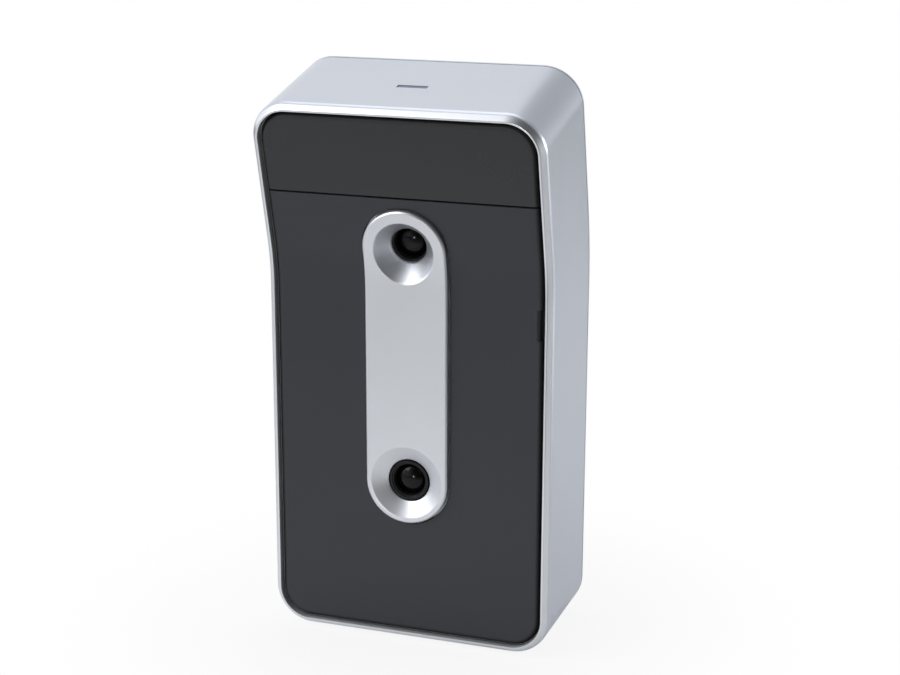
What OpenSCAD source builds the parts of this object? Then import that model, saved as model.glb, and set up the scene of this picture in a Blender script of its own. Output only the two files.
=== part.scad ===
// Camera-based golf launch monitor: a bent slab whose upper third leans forward.
// X is the width, Y points to the back, Z is up. The origin is the centre of the base on the floor.
// Depths are measured back from the plane of the front rim, heights up from the underside of the shell.
// Above the bend the same depths hold in a leaning frame whose heights start where the bend ends.

/* [Body] */
// Width of the body
body_w = 122; // [116:1:140]
// Depth from the front rim to the back face
body_d = 56; // [54:0.5:64]
// Height of the bend line above the underside of the shell
lower_h = 158; // [156:1:180]
// Length from the bend line to the top, along the leaning front
upper_h = 70; // [69:0.5:84]
// Forward lean of the upper part in degrees
lean = 14; // [8:1:18]
// Radius of the bend at the front rim
bend_r = 80; // [70:1:90]
// Outer corner radius seen from the front
corner_r = 16; // [14:0.5:18]
// Wall thickness of the shell
wall = 2.4; // [2:0.1:2.8]
// Thickness of the rear cover
cover_t = 2.6; // [2.2:0.1:3]
// Width and depth of the shadow groove between shell and rear cover
groove_w = 0.4; // [0.2:0.1:0.6]
// Bevel along the back edge of the rear cover
cover_bevel = 1.3; // [0.6:0.1:1.6]

/* [Front] */
// Width of the rim around the front opening
rim_w = 3.1; // [2.6:0.1:4]
// Flat land on the rim next to the opening
rim_land = 0.9; // [0.5:0.1:1.4]
// Depth of the bevel outside the land
rim_bevel = 2.9; // [1.5:0.1:4]
// Depth of the panel face behind the rim
panel_recess = 0.8; // [0.4:0.1:1.4]
// Thickness of the front panel and the window
panel_t = 2.2; // [1.8:0.1:2.6]
// Gap between panel and rim
panel_gap = 1.1; // [0.5:0.1:1.4]
// Height of the seam between panel and window above the bend line
seam_s = 32.5; // [31:0.5:36]
// Gap at that seam
seam_gap = 0.6; // [0.3:0.1:1]
// Thickness of the gasket behind the panels
gasket_t = 0.5; // [0.4:0.1:0.8]
// Width of the ledge that carries the panels
ledge_w = 4; // [3:0.5:5]
// Thickness of that ledge
ledge_t = 2; // [1.5:0.1:2.5]
// Height of the pry notch in the panel's edge
notch_h = 13.6; // [8:0.2:14]
// Width of the pry notch
notch_w = 1.1; // [0.8:0.1:2.5]
// Height of the middle of the notch
notch_z = 141; // [120:1:141]

/* [Camera bar] */
// Width of the raised bar
bar_w = 35.4; // [34:0.2:40]
// Height of the bar's face in front of the rim
bar_proud = 1.3; // [0.6:0.1:2]
// Bevel along the bar's edge
bar_bevel = 0.7; // [0.3:0.1:1]
// Gap between bar and panel
bar_gap = 0.5; // [0.2:0.1:0.6]
// Width of the flange behind the panel
flange_w = 3; // [2:0.5:5]
// Thickness of that flange
flange_t = 1.5; // [1:0.1:2]
// Height of the lower camera's axis
lower_cam_z = 70; // [66:1:80]
// Height of the upper camera's axis above the end of the bend
upper_cam_h = 0.2; // [0.2:0.1:3]
// Mouth radius of the lower dish
dish_r = 15.4; // [14:0.1:16.4]
// Depth of the lower dish
dish_depth = 3.6; // [3:0.1:4]
// Mouth radius of the upper cone
cone_r = 12.8; // [11:0.1:14]
// Depth of the upper cone
cone_depth = 7; // [6.2:0.1:7.4]
// Radius of the hole at the bottom of the upper cone
cone_hole_r = 7.5; // [7:0.1:8]

/* [Lenses] */
// Radius of the lens head
lens_r = 8.5; // [8.2:0.1:9]
// Length of the lens head
lens_head = 5; // [4.5:0.1:6]
// Radius of the threaded lens tube
tube_r = 6; // [5.5:0.1:6.5]
// Length of the threaded lens tube
tube_len = 9; // [7:0.5:10]
// Radius of the front glass
glass_r = 6.4; // [5.6:0.1:6.8]
// Length of the lens holder
holder_len = 9.5; // [8:0.5:11]
// Side of the holder's square foot
holder_w = 19; // [18.4:0.2:19.4]
// Side of a sensor board
sensor_w = 27; // [26.6:0.2:29]
// Side of an image sensor
sensor_chip = 10; // [8:0.5:11]

/* [Chassis] */
// Depth of the chassis plate's front
chassis_d = 28; // [27:0.2:28.4]
// Thickness of the chassis plate
chassis_t = 2; // [1.5:0.1:2]
// Thickness of the circuit boards
board_t = 1.6; // [1:0.1:1.6]
// Width across corners of the hex standoffs
hex_d = 6.4; // [5.6:0.1:6.6]
// Diameter of the threads of the standoffs and cover screws
stud_d = 3; // [2.6:0.1:3.2]
// Diameter of the small machine screws
screw_d = 2; // [1.6:0.1:2.2]

/* [Strobe] */
// Clearance between the strobe board and the bosses beside it
strobe_side = 3; // [1:0.5:8]
// Height of the strobe board's lower edge above the seam
strobe_rise = 7; // [3:0.5:9]
// Depth of the strobe board's front
strobe_d = 11.4; // [10:0.2:13]
// Emitters in a row
emitters = 7; // [4:1:8]

/* [Power] */
// Diameter of a battery cell
cell_d = 18.3; // [17.6:0.1:18.5]
// Length of a battery cell
cell_len = 65; // [60:1:70]
// Clearance between the main board and the standoffs beside it
main_side = 2.3; // [1:0.1:6]
// Height of the main board
main_h = 58; // [50:1:59]
// Radius of the power button
button_r = 6.5; // [5.5:0.1:7.5]
// Travel of the power button
button_travel = 0.6; // [0.3:0.1:0.7]
// Height of the power button
button_z = 132; // [128:0.5:134]
// Height of the charging socket
socket_z = 110; // [108:0.5:114]

/* [Top and base] */
// Length of the status slot
status_w = 12.4; // [8:0.2:16]
// Width of the status slot
status_t = 2.2; // [1.2:0.1:2.4]
// Depth of the status slot
status_d = 25; // [22:0.5:26]
// Width of the base pad
pad_w = 88; // [70:1:94]
// Depth of the base pad
pad_d = 34; // [24:1:40]
// Height of the pad below the shell
pad_proud = 1; // [0.6:0.1:1.6]
// Depth of the pad's pocket in the shell
pad_sink = 1; // [0.6:0.1:1.2]

/* [Hidden] */
$fn = 96;
// Cutters run past the faces they cut by this much
over = 1;
// Radial clearance of a screw or stud in its hole
hole_gap = 0.05;
// Radial clearance of the sliding button and of its plunger
slide_gap = 0.08;
// Clearance between fixed pieces that lie on each other round the bend
face_gap = 0.05;
// Clearance of a piece that drops into a pocket
pocket_gap = 0.2;
// Angle by which the bend is turned past its end, where the leaning part's own plane trims it
bend_trim = 2;

// Screws and studs
stud_r = stud_d / 2;
screw_r = screw_d / 2;
screw_head_r = screw_r * 1.9;
screw_head_h = 1.3;
post_r = screw_r * 2.6;
thread_room = 0.5;
// Distance of a board's screws from its edges
board_edge = 4;

// Body: where the bend starts, the width inside the walls, and the top of the leaning part
bend_tan = bend_r * tan(lean / 2);
bend_z = lower_h - bend_tan;
top_h = upper_h - bend_tan;
in_w = body_w - 2 * wall;
in_r = corner_r - wall;
shell_d = body_d - cover_t;
ceiling_h = top_h - wall;

// Front opening and the stack of panel, gasket and ledge
open_w = body_w - 2 * rim_w;
open_r = corner_r - rim_w;
open_top = top_h - rim_w;
panel_back = panel_recess + panel_t;
ledge_d = panel_back + gasket_t;
ledge_back = ledge_d + ledge_t;
seam_h = seam_s - bend_tan;
panel_w = open_w - 2 * panel_gap;

// Cameras: depth of each lens front and the stack behind it
lower_lens_d = dish_depth - bar_proud;
cone_end = cone_depth - bar_proud;
cone_lip = 0.6;
cone_wall = 2.5;
upper_lens_d = cone_end + cone_lip + pocket_gap;
tube_end = lens_head + tube_len;
holder_gap = 1.5;
holder_a = lens_head + holder_gap;
board_a = holder_a + holder_len;
holder_foot = 3;
holder_wall = 2;
holder_r = tube_r + holder_wall;
chip_t = 1.2;
chip_gap = 1;
chip_room = chip_t + chip_gap;
glass_t = 3;
glass_set = 0.5;
glass_seat = 0.4;
tube_wall = 1.4;
glass_sphere = 9;
spacer_r = 2.1;
spacer_at = holder_w / 2 + screw_head_r * 0.75 + pocket_gap;

// Chassis and the posts that clamp it between shell and cover
chassis_back = chassis_d + chassis_t;
chassis_gap = 1.6;
chassis_w = in_w - 2 * chassis_gap;
post_inset = 4.1;
boss_lap = 0.4;
post_x = in_w / 2 - post_inset;
post_low_z = corner_r + 4;
post_mid_z = bend_z - 18;
post_up_h = top_h - corner_r;
boss_r = post_inset + boss_lap;
stud_len = 7;
post_pad = 2;
post_pad_r = post_inset - pocket_gap;
post_end = shell_d - post_pad;
lip_h = 1.8;
lip_t = 1.4;
cover_gap = 0.6;
head_r = stud_r * 1.8;
head_h = 1.8;
head_floor = 1.6;
head_seat = post_end + head_floor;
cover_screw_len = 8;

// Status light
status_board_w = 34;
status_board_d = 9;
status_board_t = 1.2;
status_led_t = 0.8;
status_led_w = 2;
status_room = 5.4;
status_board_h = ceiling_h - status_room - status_board_t;
status_post_x = status_board_w / 2 - 3.4;
status_flange_w = 2;
status_flange_t = 1.2;
status_set = 0.25;
status_screw_len = 3;

// Strobe: emitters on a board, on a finned heat sink that stands on the chassis
strobe_low = seam_h + strobe_rise;
strobe_top = status_board_h - screw_head_h - cover_gap;
strobe_mid = (strobe_low + strobe_top) / 2;
strobe_h = strobe_top - strobe_low;
strobe_w = 2 * (post_x - boss_r - strobe_side);
strobe_back = strobe_d + board_t;
strobe_post_x = strobe_w / 2 - board_edge;
strobe_post_h = strobe_h / 2 - board_edge;
sink_base = 3;
fin_t = 1.4;
fin_pitch = 5;
emitter_w = 5;
emitter_t = 1.2;
emitter_r = 2;
emitter_rows = 2;
chassis_top = strobe_top;

// Main board behind the chassis
main_z = bend_z - main_h / 2 - board_edge;
main_w = 2 * (post_x - hex_d / 2 - main_side);
main_stand = 4;
main_d = chassis_back + main_stand;
main_back = main_d + board_t;
main_post_x = main_w / 2 - board_edge;
main_post_rise = 12;
main_post_z = main_h / 2 - main_post_rise;
ribbon_t = 0.3;
ribbon_w = 12;
ribbon_d = chassis_d - 1.3;
ribbon_slot = 2.4;
ribbon_low_z = main_z - main_h / 2 + 8;
ribbon_up_z = main_z + main_h / 2 - 8;
plug_t = 1.6;
plug_h = 4;
plug_wall = 1.5;
memory_w = 13;
memory_h = 11;
radio_w = 8;
processor_w = 18;
processor_t = 1.6;
cooler_w = 26;
cooler_side = 1.5;
cooler_base = 2;
cooler_t = 7;
cooler_fin_t = 1.2;
cooler_pitch = 4;

// Battery: cells lie across the body in a tray on the chassis
cell_r = cell_d / 2;
cell_gap = 0.2;
cell_pitch = cell_d + 2 * cell_gap;
cells = 4;
tray_floor = 1.2;
tray_wall = 2.4;
tray_rim = 1.2;
strap_w = 16;
strap_t = 0.7;
tray_z = wall + pocket_gap + lip_t + strap_t + cover_gap;
tray_screw_len = 3.6;
tray_h = cells * cell_pitch + 2 * tray_rim;
tray_w = cell_len + 2 * cell_gap + 2 * tray_wall;
cell_axis_d = chassis_back + tray_floor + cell_r + cell_gap;
strap_back = cell_axis_d + cell_r + cell_gap + strap_t;
strap_drop = 6;
guard_t = 1.6;
guard_h = 44;
lead_w = 4;
lead_t = 1.6;
lead_lift = 0.5;
lead_plug_h = 6;
lead_z0 = tray_z + tray_h / 2;
lead_z1 = main_z - main_h / 2 + 3;
lead_plug_w = 8;

// Input board on the rear cover, with the charging socket and the power button's switch
input_stand = 7.4;
input_back = shell_d - input_stand;
input_d = input_back - board_t;
input_w = 34;
input_edge = 8;
processor_x = -(input_w + cooler_w) / 2 - cooler_side;
input_z0 = socket_z - input_edge;
input_z1 = button_z + input_edge;
input_post_x = input_w / 2 - board_edge;
input_posts_z = [input_z0 + 3, input_z1 - 3];
input_screw_len = 4.5;
socket_w = 9.2;
socket_h = 3.4;
socket_wall = 0.35;
socket_set = 1.2;
socket_floor = 2;
tongue_w = 6.6;
tongue_t = 0.7;
tongue_short = 1;
pocket_w = 13.4;
pocket_h = 7.4;
pocket_d = 1.2;
switch_w = 6.2;
switch_t = 3.5;
plunger_r = 1.7;
plunger_end = 5;
plunger_floor = 1;
plunger_len = plunger_end - plunger_floor - button_travel - pocket_gap;
button_flange = 1.3;
button_flange_t = 1.2;
button_rest_gap = 0.1;
button_proud = 0.6;
button_stem_r = 2.5;
button_dish_r = 26;
button_dish = 0.4;

// Rear cover: vents in the leaning part and a bare rating plate low down
vents = 6;
vent_w = 58;
vent_t = 2.2;
vent_pitch = 5.4;
vent_h0 = 14;
plate_w = 62;
plate_h = 34;
plate_t = 0.4;
plate_z = 52;
plate_r = 3;

// Antenna on the side wall
antenna_w = 10;
antenna_h = 36;
antenna_t = 0.4;
antenna_d = 34;

// Frames: x is the width, y the depth behind the rim, z the height in the upright or the leaning part
module at_base() {
    translate([0, -body_d / 2, pad_proud]) children();
}
module at_upper() {
    at_bend() rotate([lean / 2, 0, 0]) translate([0, bend_r, 0]) children();
}
// Frame at the bend's own axis, turned halfway between the upright and the leaning part
module at_bend() {
    at_base() translate([0, -bend_r, bend_z]) rotate([lean / 2, 0, 0]) children();
}
module at_lower_camera() {
    at_base() translate([0, lower_lens_d, lower_cam_z]) children();
}
module at_upper_camera() {
    at_upper() translate([0, upper_lens_d, upper_cam_h]) children();
}
module at_posts() {
    for (side = [-1, 1]) {
        for (z = [post_low_z, post_mid_z]) at_base() translate([side * post_x, 0, z]) children();
        at_upper() translate([side * post_x, 0, post_up_h]) children();
    }
}
module input_posts() {
    for (z = input_posts_z) for (side = [-1, 1]) at_base() translate([side * input_post_x, 0, z]) children();
}
module status_posts() {
    for (side = [-1, 1]) at_upper() translate([side * status_post_x, status_d, status_board_h]) children();
}
module at_four(x, z) {
    for (sx = [-1, 1]) for (sz = [-1, 1]) translate([sx * x, 0, sz * z]) children();
}

// Basic solids along the depth
module depth_extrude(d0, d1) {
    translate([0, d1, 0]) rotate([90, 0, 0]) linear_extrude(d1 - d0) children();
}
module rod(r, d0, d1) {
    translate([0, d0, 0]) rotate([-90, 0, 0]) cylinder(r = r, h = d1 - d0);
}
module cone(r0, r1, d0, d1) {
    translate([0, d0, 0]) rotate([-90, 0, 0]) cylinder(r1 = r0, r2 = r1, h = d1 - d0);
}
module plate(w, h, d0, d1) {
    translate([-w / 2, d0, -h / 2]) cube([w, d1 - d0, h]);
}
module obround(w, h) {
    square([w - h, h], center = true);
    for (side = [-1, 1]) translate([side * (w - h) / 2, 0]) circle(d = h);
}
module round_rect(w, h, r) {
    square([w - 2 * r, h], center = true);
    square([w, h - 2 * r], center = true);
    for (sx = [-1, 1]) for (sz = [-1, 1]) translate([sx * (w / 2 - r), sz * (h / 2 - r)]) circle(r = r);
}

// Bent pieces are drawn in three zones, one after the other: the upright part, the bend and the leaning part.
// In the bend the children are flat cross-sections, with x as the depth and y as the width.
module upright_zone() {
    $zone = "upright";
    rotate([-lean / 2, 0, 0]) translate([0, bend_r, -bend_z]) children();
}
module bend_zone() {
    $zone = "bend";
    difference() {
        rotate([-lean / 2, 0, 0]) rotate([90, 0, 90]) rotate_extrude(angle = lean + bend_trim)
            translate([bend_r, 0]) children();
        rotate([lean / 2, 0, 0]) translate([-body_w, 0, 0]) cube([2 * body_w, bend_r + 2 * body_d, body_d]);
    }
}
module leaning_zone() {
    $zone = "leaning";
    rotate([lean / 2, 0, 0]) translate([0, bend_r, 0]) children();
}
module bent() {
    at_bend() {
        upright_zone() children();
        bend_zone() children();
        leaning_zone() children();
    }
}

// Slab from depth d0 to d1 that starts at height z0 and ends at leaning height h1, with rounded end corners.
// A cutter runs past the joints between the zones.
module slab(w, d0, d1, z0, h1, r0 = 0, r1 = 0, past = 0) {
    if ($zone == "upright") depth_extrude(d0, d1) {
        translate([-w / 2, z0 + r0]) square([w, bend_z - z0 - r0 + past]);
        round_end(w, z0 + r0, r0);
    }
    if ($zone == "bend") translate([d0, -w / 2]) square([d1 - d0, w]);
    if ($zone == "leaning") depth_extrude(d0, d1) {
        translate([-w / 2, -past]) square([w, h1 - r1 + past]);
        round_end(w, h1 - r1, r1);
    }
}
module cut_slab(w, d0, d1, z0, h1, r0 = 0, r1 = 0) {
    slab(w, d0, d1, z0, h1, r0, r1, over);
}
module round_end(w, z, r) {
    if (w > 2 * r) {
        if (r > 0) {
            translate([r - w / 2, z - r]) square([w - 2 * r, 2 * r]);
            for (side = [-1, 1]) translate([side * (w / 2 - r), z]) circle(r = r);
        }
    } else {
        translate([0, z]) circle(r = r);
    }
}

// Material to take off for a bevel all round a slab's face at depth d, m wide and c deep.
// A positive c bevels a front face, a negative one a back face.
module bevel_profile(w, d, m, c) {
    out = c > 0 ? -over : over;
    half = w / 2;
    past = half + over;
    polygon([[d, half - m], [d + c, half], [d + c, past], [d + out, past], [d + out, half - m]]);
}
module bevel_corner(r, d, m, c) {
    run = abs(m * over / c);
    d0 = c > 0 ? d - over : d + c;
    d1 = c > 0 ? d + c : d + over;
    r0 = c > 0 ? r - m - run : r;
    r1 = c > 0 ? r : r - m - run;
    difference() {
        translate([0, d0, 0]) cube([r + over, d1 - d0, r + over]);
        cone(r0, r1, d0, d1);
    }
}
module bevel_end(w, r, d, m, c, z) {
    for (side = [0, 1]) mirror([side, 0, 0]) translate([w / 2 - r, 0, z - r]) bevel_corner(r, d, m, c);
    if (w > 2 * r) rotate([90, 0, 90]) linear_extrude(w - 2 * r, center = true) bevel_profile(2 * z, d, m, c);
}
module bevel(w, z0, h1, r, d, m, c) {
    if ($zone == "upright") {
        for (side = [0, 1]) mirror([side, 0, 0]) translate([0, 0, z0 + r])
            linear_extrude(bend_z - z0 - r + over) mirror([1, -1]) bevel_profile(w, d, m, c);
        mirror([0, 0, 1]) bevel_end(w, r, d, m, c, -z0);
    }
    if ($zone == "bend") for (side = [0, 1]) mirror([0, side]) bevel_profile(w, d, m, c);
    if ($zone == "leaning") {
        for (side = [0, 1]) mirror([side, 0, 0]) translate([0, 0, -over]) linear_extrude(h1 - r + over)
            mirror([1, -1]) bevel_profile(w, d, m, c);
        bevel_end(w, r, d, m, c, h1);
    }
}

// Machine screw along the depth: the head's underside at depth d, the shank to depth d plus len
module screw(r, hr, hh, d, len) {
    way = len > 0 ? 1 : -1;
    difference() {
        union() {
            rod(r, min(d, d + len), max(d, d + len));
            rod(hr, min(d, d - way * hh), max(d, d - way * hh));
        }
        translate([0, d - way * hh, 0]) rotate([90, 0, 0])
            cylinder(r = hr * 0.55, h = hh * 1.2, center = true, $fn = 6);
    }
}

// Outer casing
module main_shell() {
    color("silver") difference() {
        union() {
            bent() difference() {
                slab(body_w, 0, shell_d, 0, top_h, corner_r, corner_r);
                bevel(body_w, 0, top_h, corner_r, 0, rim_w - rim_land, rim_bevel);
                cut_slab(open_w, -over, ledge_d, rim_w, open_top, open_r, open_r);
                cut_slab(open_w - 2 * ledge_w, ledge_d - over, ledge_back + over, rim_w + ledge_w,
                    open_top - ledge_w, open_r - ledge_w, open_r - ledge_w);
                cut_slab(in_w, ledge_back, shell_d + over, wall, ceiling_h, in_r, in_r);
            }
            at_posts() rod(boss_r, ledge_d + ledge_t / 2, chassis_d);
            status_posts() translate([0, 0, status_board_t]) cylinder(r = post_r, h = status_room + wall / 2);
        }
        at_posts() rod(stud_r + hole_gap, chassis_d - stud_len, chassis_d + over);
        status_posts() cylinder(r = screw_r + hole_gap, h = status_board_t + status_screw_len + thread_room);
        at_upper() translate([0, status_d, ceiling_h - over]) linear_extrude(wall + 2 * over)
            square([status_w + 2 * pocket_gap, status_t + 2 * pocket_gap], center = true);
        at_base() translate([0, body_d / 2, -over]) linear_extrude(pad_sink + over)
            round_rect(pad_w + 2 * pocket_gap, pad_d + 2 * pocket_gap, corner_r / 2);
    }
}
module rear_cover() {
    lip_w = in_w - 2 * pocket_gap;
    lip_r = in_r - pocket_gap;
    lip_z = wall + pocket_gap;
    lip_top = ceiling_h - pocket_gap;
    color("silver") difference() {
        union() {
            bent() difference() {
                union() {
                    slab(body_w, shell_d + groove_w, body_d, 0, top_h, corner_r, corner_r);
                    slab(body_w - 2 * groove_w, shell_d + face_gap, body_d, groove_w, top_h - groove_w,
                        corner_r - groove_w, corner_r - groove_w);
                    difference() {
                        slab(lip_w, shell_d - lip_h, body_d, lip_z, lip_top, lip_r, lip_r);
                        cut_slab(lip_w - 2 * lip_t, shell_d - lip_h - over, shell_d + face_gap, lip_z + lip_t,
                            lip_top - lip_t, lip_r - lip_t, lip_r - lip_t);
                    }
                }
                bevel(body_w, 0, top_h, corner_r, body_d, cover_bevel, -cover_bevel);
            }
            at_posts() rod(post_pad_r, post_end, shell_d + over / 2);
            input_posts() rod(post_r, input_back, shell_d + over / 2);
        }
        at_posts() {
            rod(stud_r + hole_gap, post_end - over, body_d + over);
            rod(head_r + pocket_gap, head_seat, body_d + over);
        }
        input_posts() rod(screw_r + hole_gap, input_back - over, input_back + input_screw_len + thread_room);
        at_base() translate([0, 0, button_z]) rod(button_r + slide_gap, shell_d - over, body_d + over);
        at_base() translate([0, 0, socket_z]) {
            depth_extrude(shell_d - over, body_d + over)
                obround(socket_w + 2 * pocket_gap, socket_h + 2 * pocket_gap);
            depth_extrude(body_d - pocket_d, body_d + over) obround(pocket_w, pocket_h);
        }
        at_upper() for (i = [0 : vents - 1]) translate([0, 0, vent_h0 + i * vent_pitch])
            depth_extrude(shell_d - over, body_d + over) obround(vent_w, vent_t);
        at_base() translate([0, 0, plate_z]) depth_extrude(body_d - plate_t, body_d + over)
            round_rect(plate_w + 2 * pocket_gap, plate_h + 2 * pocket_gap, plate_r);
    }
}

// Front panels
module panel_hole() {
    w = bar_w + 2 * bar_gap;
    cut_slab(w, -over, panel_back + over, lower_cam_z - w / 2, upper_cam_h + w / 2, w / 2, w / 2);
}
module front_panel() {
    edge = panel_w / 2;
    notch_z0 = notch_z - notch_h / 2;
    notch_z1 = notch_z + notch_h / 2;
    color([0.22, 0.23, 0.24]) difference() {
        bent() difference() {
            slab(panel_w, panel_recess, panel_back, rim_w + panel_gap, seam_h - seam_gap / 2,
                open_r - panel_gap);
            panel_hole();
        }
        at_base() depth_extrude(panel_recess - over, panel_back + over) polygon([
            [edge + over, notch_z0 - over], [edge - notch_w, notch_z0 + notch_w],
            [edge - notch_w, notch_z1 - notch_w / 2], [edge + over, notch_z1 + over]
        ]);
    }
}
module strobe_window() {
    color([0.16, 0.15, 0.16]) at_upper() depth_extrude(panel_recess, panel_back) difference() {
        union() {
            translate([-panel_w / 2, 0]) square([panel_w, open_top - open_r]);
            round_end(panel_w, open_top - open_r, open_r - panel_gap);
        }
        translate([-panel_w, -over]) square([2 * panel_w, seam_h + seam_gap / 2 + over]);
    }
}
module panel_gasket() {
    rim = 2 * pocket_gap;
    color([0.1, 0.1, 0.1]) bent() difference() {
        slab(open_w - 2 * rim, panel_back + face_gap, ledge_d - face_gap, rim_w + rim,
            open_top - rim, open_r - rim, open_r - rim);
        cut_slab(open_w - 2 * ledge_w + 2 * rim, panel_back - over, ledge_d + over, rim_w + ledge_w - rim,
            open_top - ledge_w + rim, open_r - ledge_w + rim, open_r - ledge_w + rim);
    }
}
module camera_bezel() {
    flange_r = bar_w / 2 + flange_w;
    flange_d = panel_back + face_gap;
    run = over * 3;
    cone_slope = (cone_r - cone_hole_r) / cone_depth;
    dish_slope = (dish_r - lens_r - bar_gap) / dish_depth;
    bar_z = lower_cam_z - bar_w / 2;
    bar_top = upper_cam_h + bar_w / 2;
    color([0.82, 0.83, 0.85]) difference() {
        union() {
            bent() {
                difference() {
                    slab(bar_w, -bar_proud, flange_d + flange_t, bar_z, bar_top, bar_w / 2, bar_w / 2);
                    bevel(bar_w, bar_z, bar_top, bar_w / 2, -bar_proud, bar_bevel, bar_bevel);
                }
                slab(2 * flange_r, flange_d, flange_d + flange_t, lower_cam_z - flange_r,
                    upper_cam_h + flange_r, flange_r, flange_r);
            }
            at_upper() translate([0, 0, upper_cam_h])
                rod(cone_hole_r + cone_wall, panel_back, cone_end + cone_lip);
        }
        at_upper() translate([0, 0, upper_cam_h]) {
            cone(cone_r + run * cone_slope, cone_hole_r, -bar_proud - run, cone_end);
            rod(cone_hole_r, cone_end - over, cone_end + cone_lip + over);
        }
        at_base() translate([0, 0, lower_cam_z]) {
            cone(dish_r + over * dish_slope, lens_r + bar_gap, -bar_proud - over, lower_lens_d);
            rod(lens_r + bar_gap, lower_lens_d - over, flange_d + flange_t + over);
        }
    }
}

// Camera modules, each drawn from its lens front at depth 0
module lens_barrel() {
    color([0.12, 0.12, 0.13]) difference() {
        union() {
            rod(lens_r, 0, lens_head);
            rod(tube_r, lens_head - over, tube_end);
        }
        cone(glass_r + glass_seat + 2 * over, glass_r + hole_gap, -over, glass_seat + over);
        rod(glass_r + hole_gap, -over, glass_set + glass_t);
        rod(tube_r - tube_wall, 0, tube_end + over);
    }
}
module lens_glass() {
    color([0.05, 0.05, 0.08]) intersection() {
        rod(glass_r, glass_set, glass_set + glass_t);
        translate([0, glass_set + glass_sphere, 0]) sphere(r = glass_sphere);
    }
}
module lens_holder() {
    color([0.15, 0.15, 0.15]) difference() {
        union() {
            rod(holder_r, holder_a, board_a);
            plate(holder_w, holder_w, board_a - holder_foot, board_a);
        }
        rod(tube_r + hole_gap, holder_a - over, board_a + over);
        plate(sensor_chip + 2 * chip_gap, sensor_chip + 2 * chip_gap, board_a - chip_room, board_a + over);
    }
}
module sensor_board() {
    color("darkgreen") difference() {
        plate(sensor_w, sensor_w, board_a, board_a + board_t);
        at_four(spacer_at, spacer_at) rod(screw_r + hole_gap, board_a - over, board_a + board_t + over);
    }
}
module image_sensor() {
    color("slategray") plate(sensor_chip, sensor_chip, board_a - chip_t, board_a);
}
module lower_lens_barrel() at_lower_camera() lens_barrel();
module upper_lens_barrel() at_upper_camera() lens_barrel();
module lower_lens_glass() at_lower_camera() lens_glass();
module upper_lens_glass() at_upper_camera() lens_glass();
module lower_lens_holder() at_lower_camera() lens_holder();
module upper_lens_holder() at_upper_camera() lens_holder();
module lower_sensor_board() at_lower_camera() sensor_board();
module upper_sensor_board() at_upper_camera() sensor_board();
module lower_image_sensor() at_lower_camera() image_sensor();
module upper_image_sensor() at_upper_camera() image_sensor();
module camera_posts(r, d0, lower_d1, upper_d1) {
    at_lower_camera() at_four(spacer_at, spacer_at) rod(r, d0, lower_d1 - lower_lens_d);
    at_upper_camera() at_four(spacer_at, spacer_at) rod(r, d0, upper_d1 - upper_lens_d);
}
module camera_spacers() {
    color("goldenrod") difference() {
        camera_posts(spacer_r, board_a + board_t, chassis_back, chassis_back);
        camera_posts(screw_r + hole_gap, board_a, chassis_back + over, chassis_back + over);
        bent() slab(chassis_w, chassis_d, chassis_back + over, wall, chassis_top);
    }
}
module camera_screws() {
    color("dimgray") {
        at_lower_camera() at_four(spacer_at, spacer_at)
            screw(screw_r, screw_head_r, screw_head_h, board_a, chassis_back - lower_lens_d - board_a);
        at_upper_camera() at_four(spacer_at, spacer_at)
            screw(screw_r, screw_head_r, screw_head_h, board_a, chassis_back - upper_lens_d - board_a);
    }
}

// Chassis and its posts
module chassis() {
    color("lightsteelblue") difference() {
        bent() slab(chassis_w, chassis_d, chassis_back, wall + chassis_gap, chassis_top, in_r - chassis_gap);
        at_posts() rod(stud_r + hole_gap, chassis_d - over, chassis_back + over);
        camera_posts(screw_r + hole_gap, board_a, chassis_back + over, chassis_back + over);
        at_base() for (z = [ribbon_low_z, ribbon_up_z]) translate([0, 0, z])
            plate(ribbon_w + 2, ribbon_slot, chassis_d - over, chassis_back + over);
        at_base() translate([0, 0, main_z]) at_four(main_post_x, main_post_z)
            rod(screw_r + hole_gap, chassis_d - over, chassis_back + over);
        tray_screws() rod(screw_r + hole_gap, chassis_d - over, chassis_back + over);
        at_upper() translate([0, 0, strobe_mid]) at_four(strobe_post_x, strobe_post_h)
            rod(screw_r + hole_gap, chassis_d - over, chassis_back + over);
    }
}
module hex_standoffs() {
    color("gold") at_posts() difference() {
        union() {
            translate([0, chassis_back, 0]) rotate([-90, 0, 0])
                cylinder(d = hex_d, h = post_end - chassis_back, $fn = 6);
            rod(stud_r, chassis_d - stud_len + thread_room, chassis_back + over);
        }
        rod(stud_r + hole_gap, head_seat - cover_screw_len - thread_room, post_end + over);
    }
}
module cover_screws() {
    color("dimgray") at_posts() screw(stud_r, head_r, head_h, head_seat, -cover_screw_len);
}

// Strobe
module strobe_board() {
    color("white") at_upper() translate([0, 0, strobe_mid]) difference() {
        plate(strobe_w, strobe_h, strobe_d, strobe_back);
        at_four(strobe_post_x, strobe_post_h) rod(screw_r + hole_gap, strobe_d - over, strobe_back + over);
    }
}
module strobe_emitters() {
    pitch_x = (strobe_w - 4 * emitter_w) / (emitters - 1);
    pitch_h = strobe_h / emitter_rows;
    color([0.25, 0.1, 0.15]) at_upper() for (i = [0 : emitters - 1]) for (j = [0 : emitter_rows - 1])
        translate([(i - (emitters - 1) / 2) * pitch_x, strobe_d, strobe_mid])
        translate([0, 0, (j - (emitter_rows - 1) / 2) * pitch_h]) {
            plate(emitter_w, emitter_w, -emitter_t, 0);
            intersection() {
                rod(emitter_r, -emitter_t - emitter_r, -emitter_t / 2);
                translate([0, -emitter_t, 0]) sphere(r = emitter_r);
            }
        }
}
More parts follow.
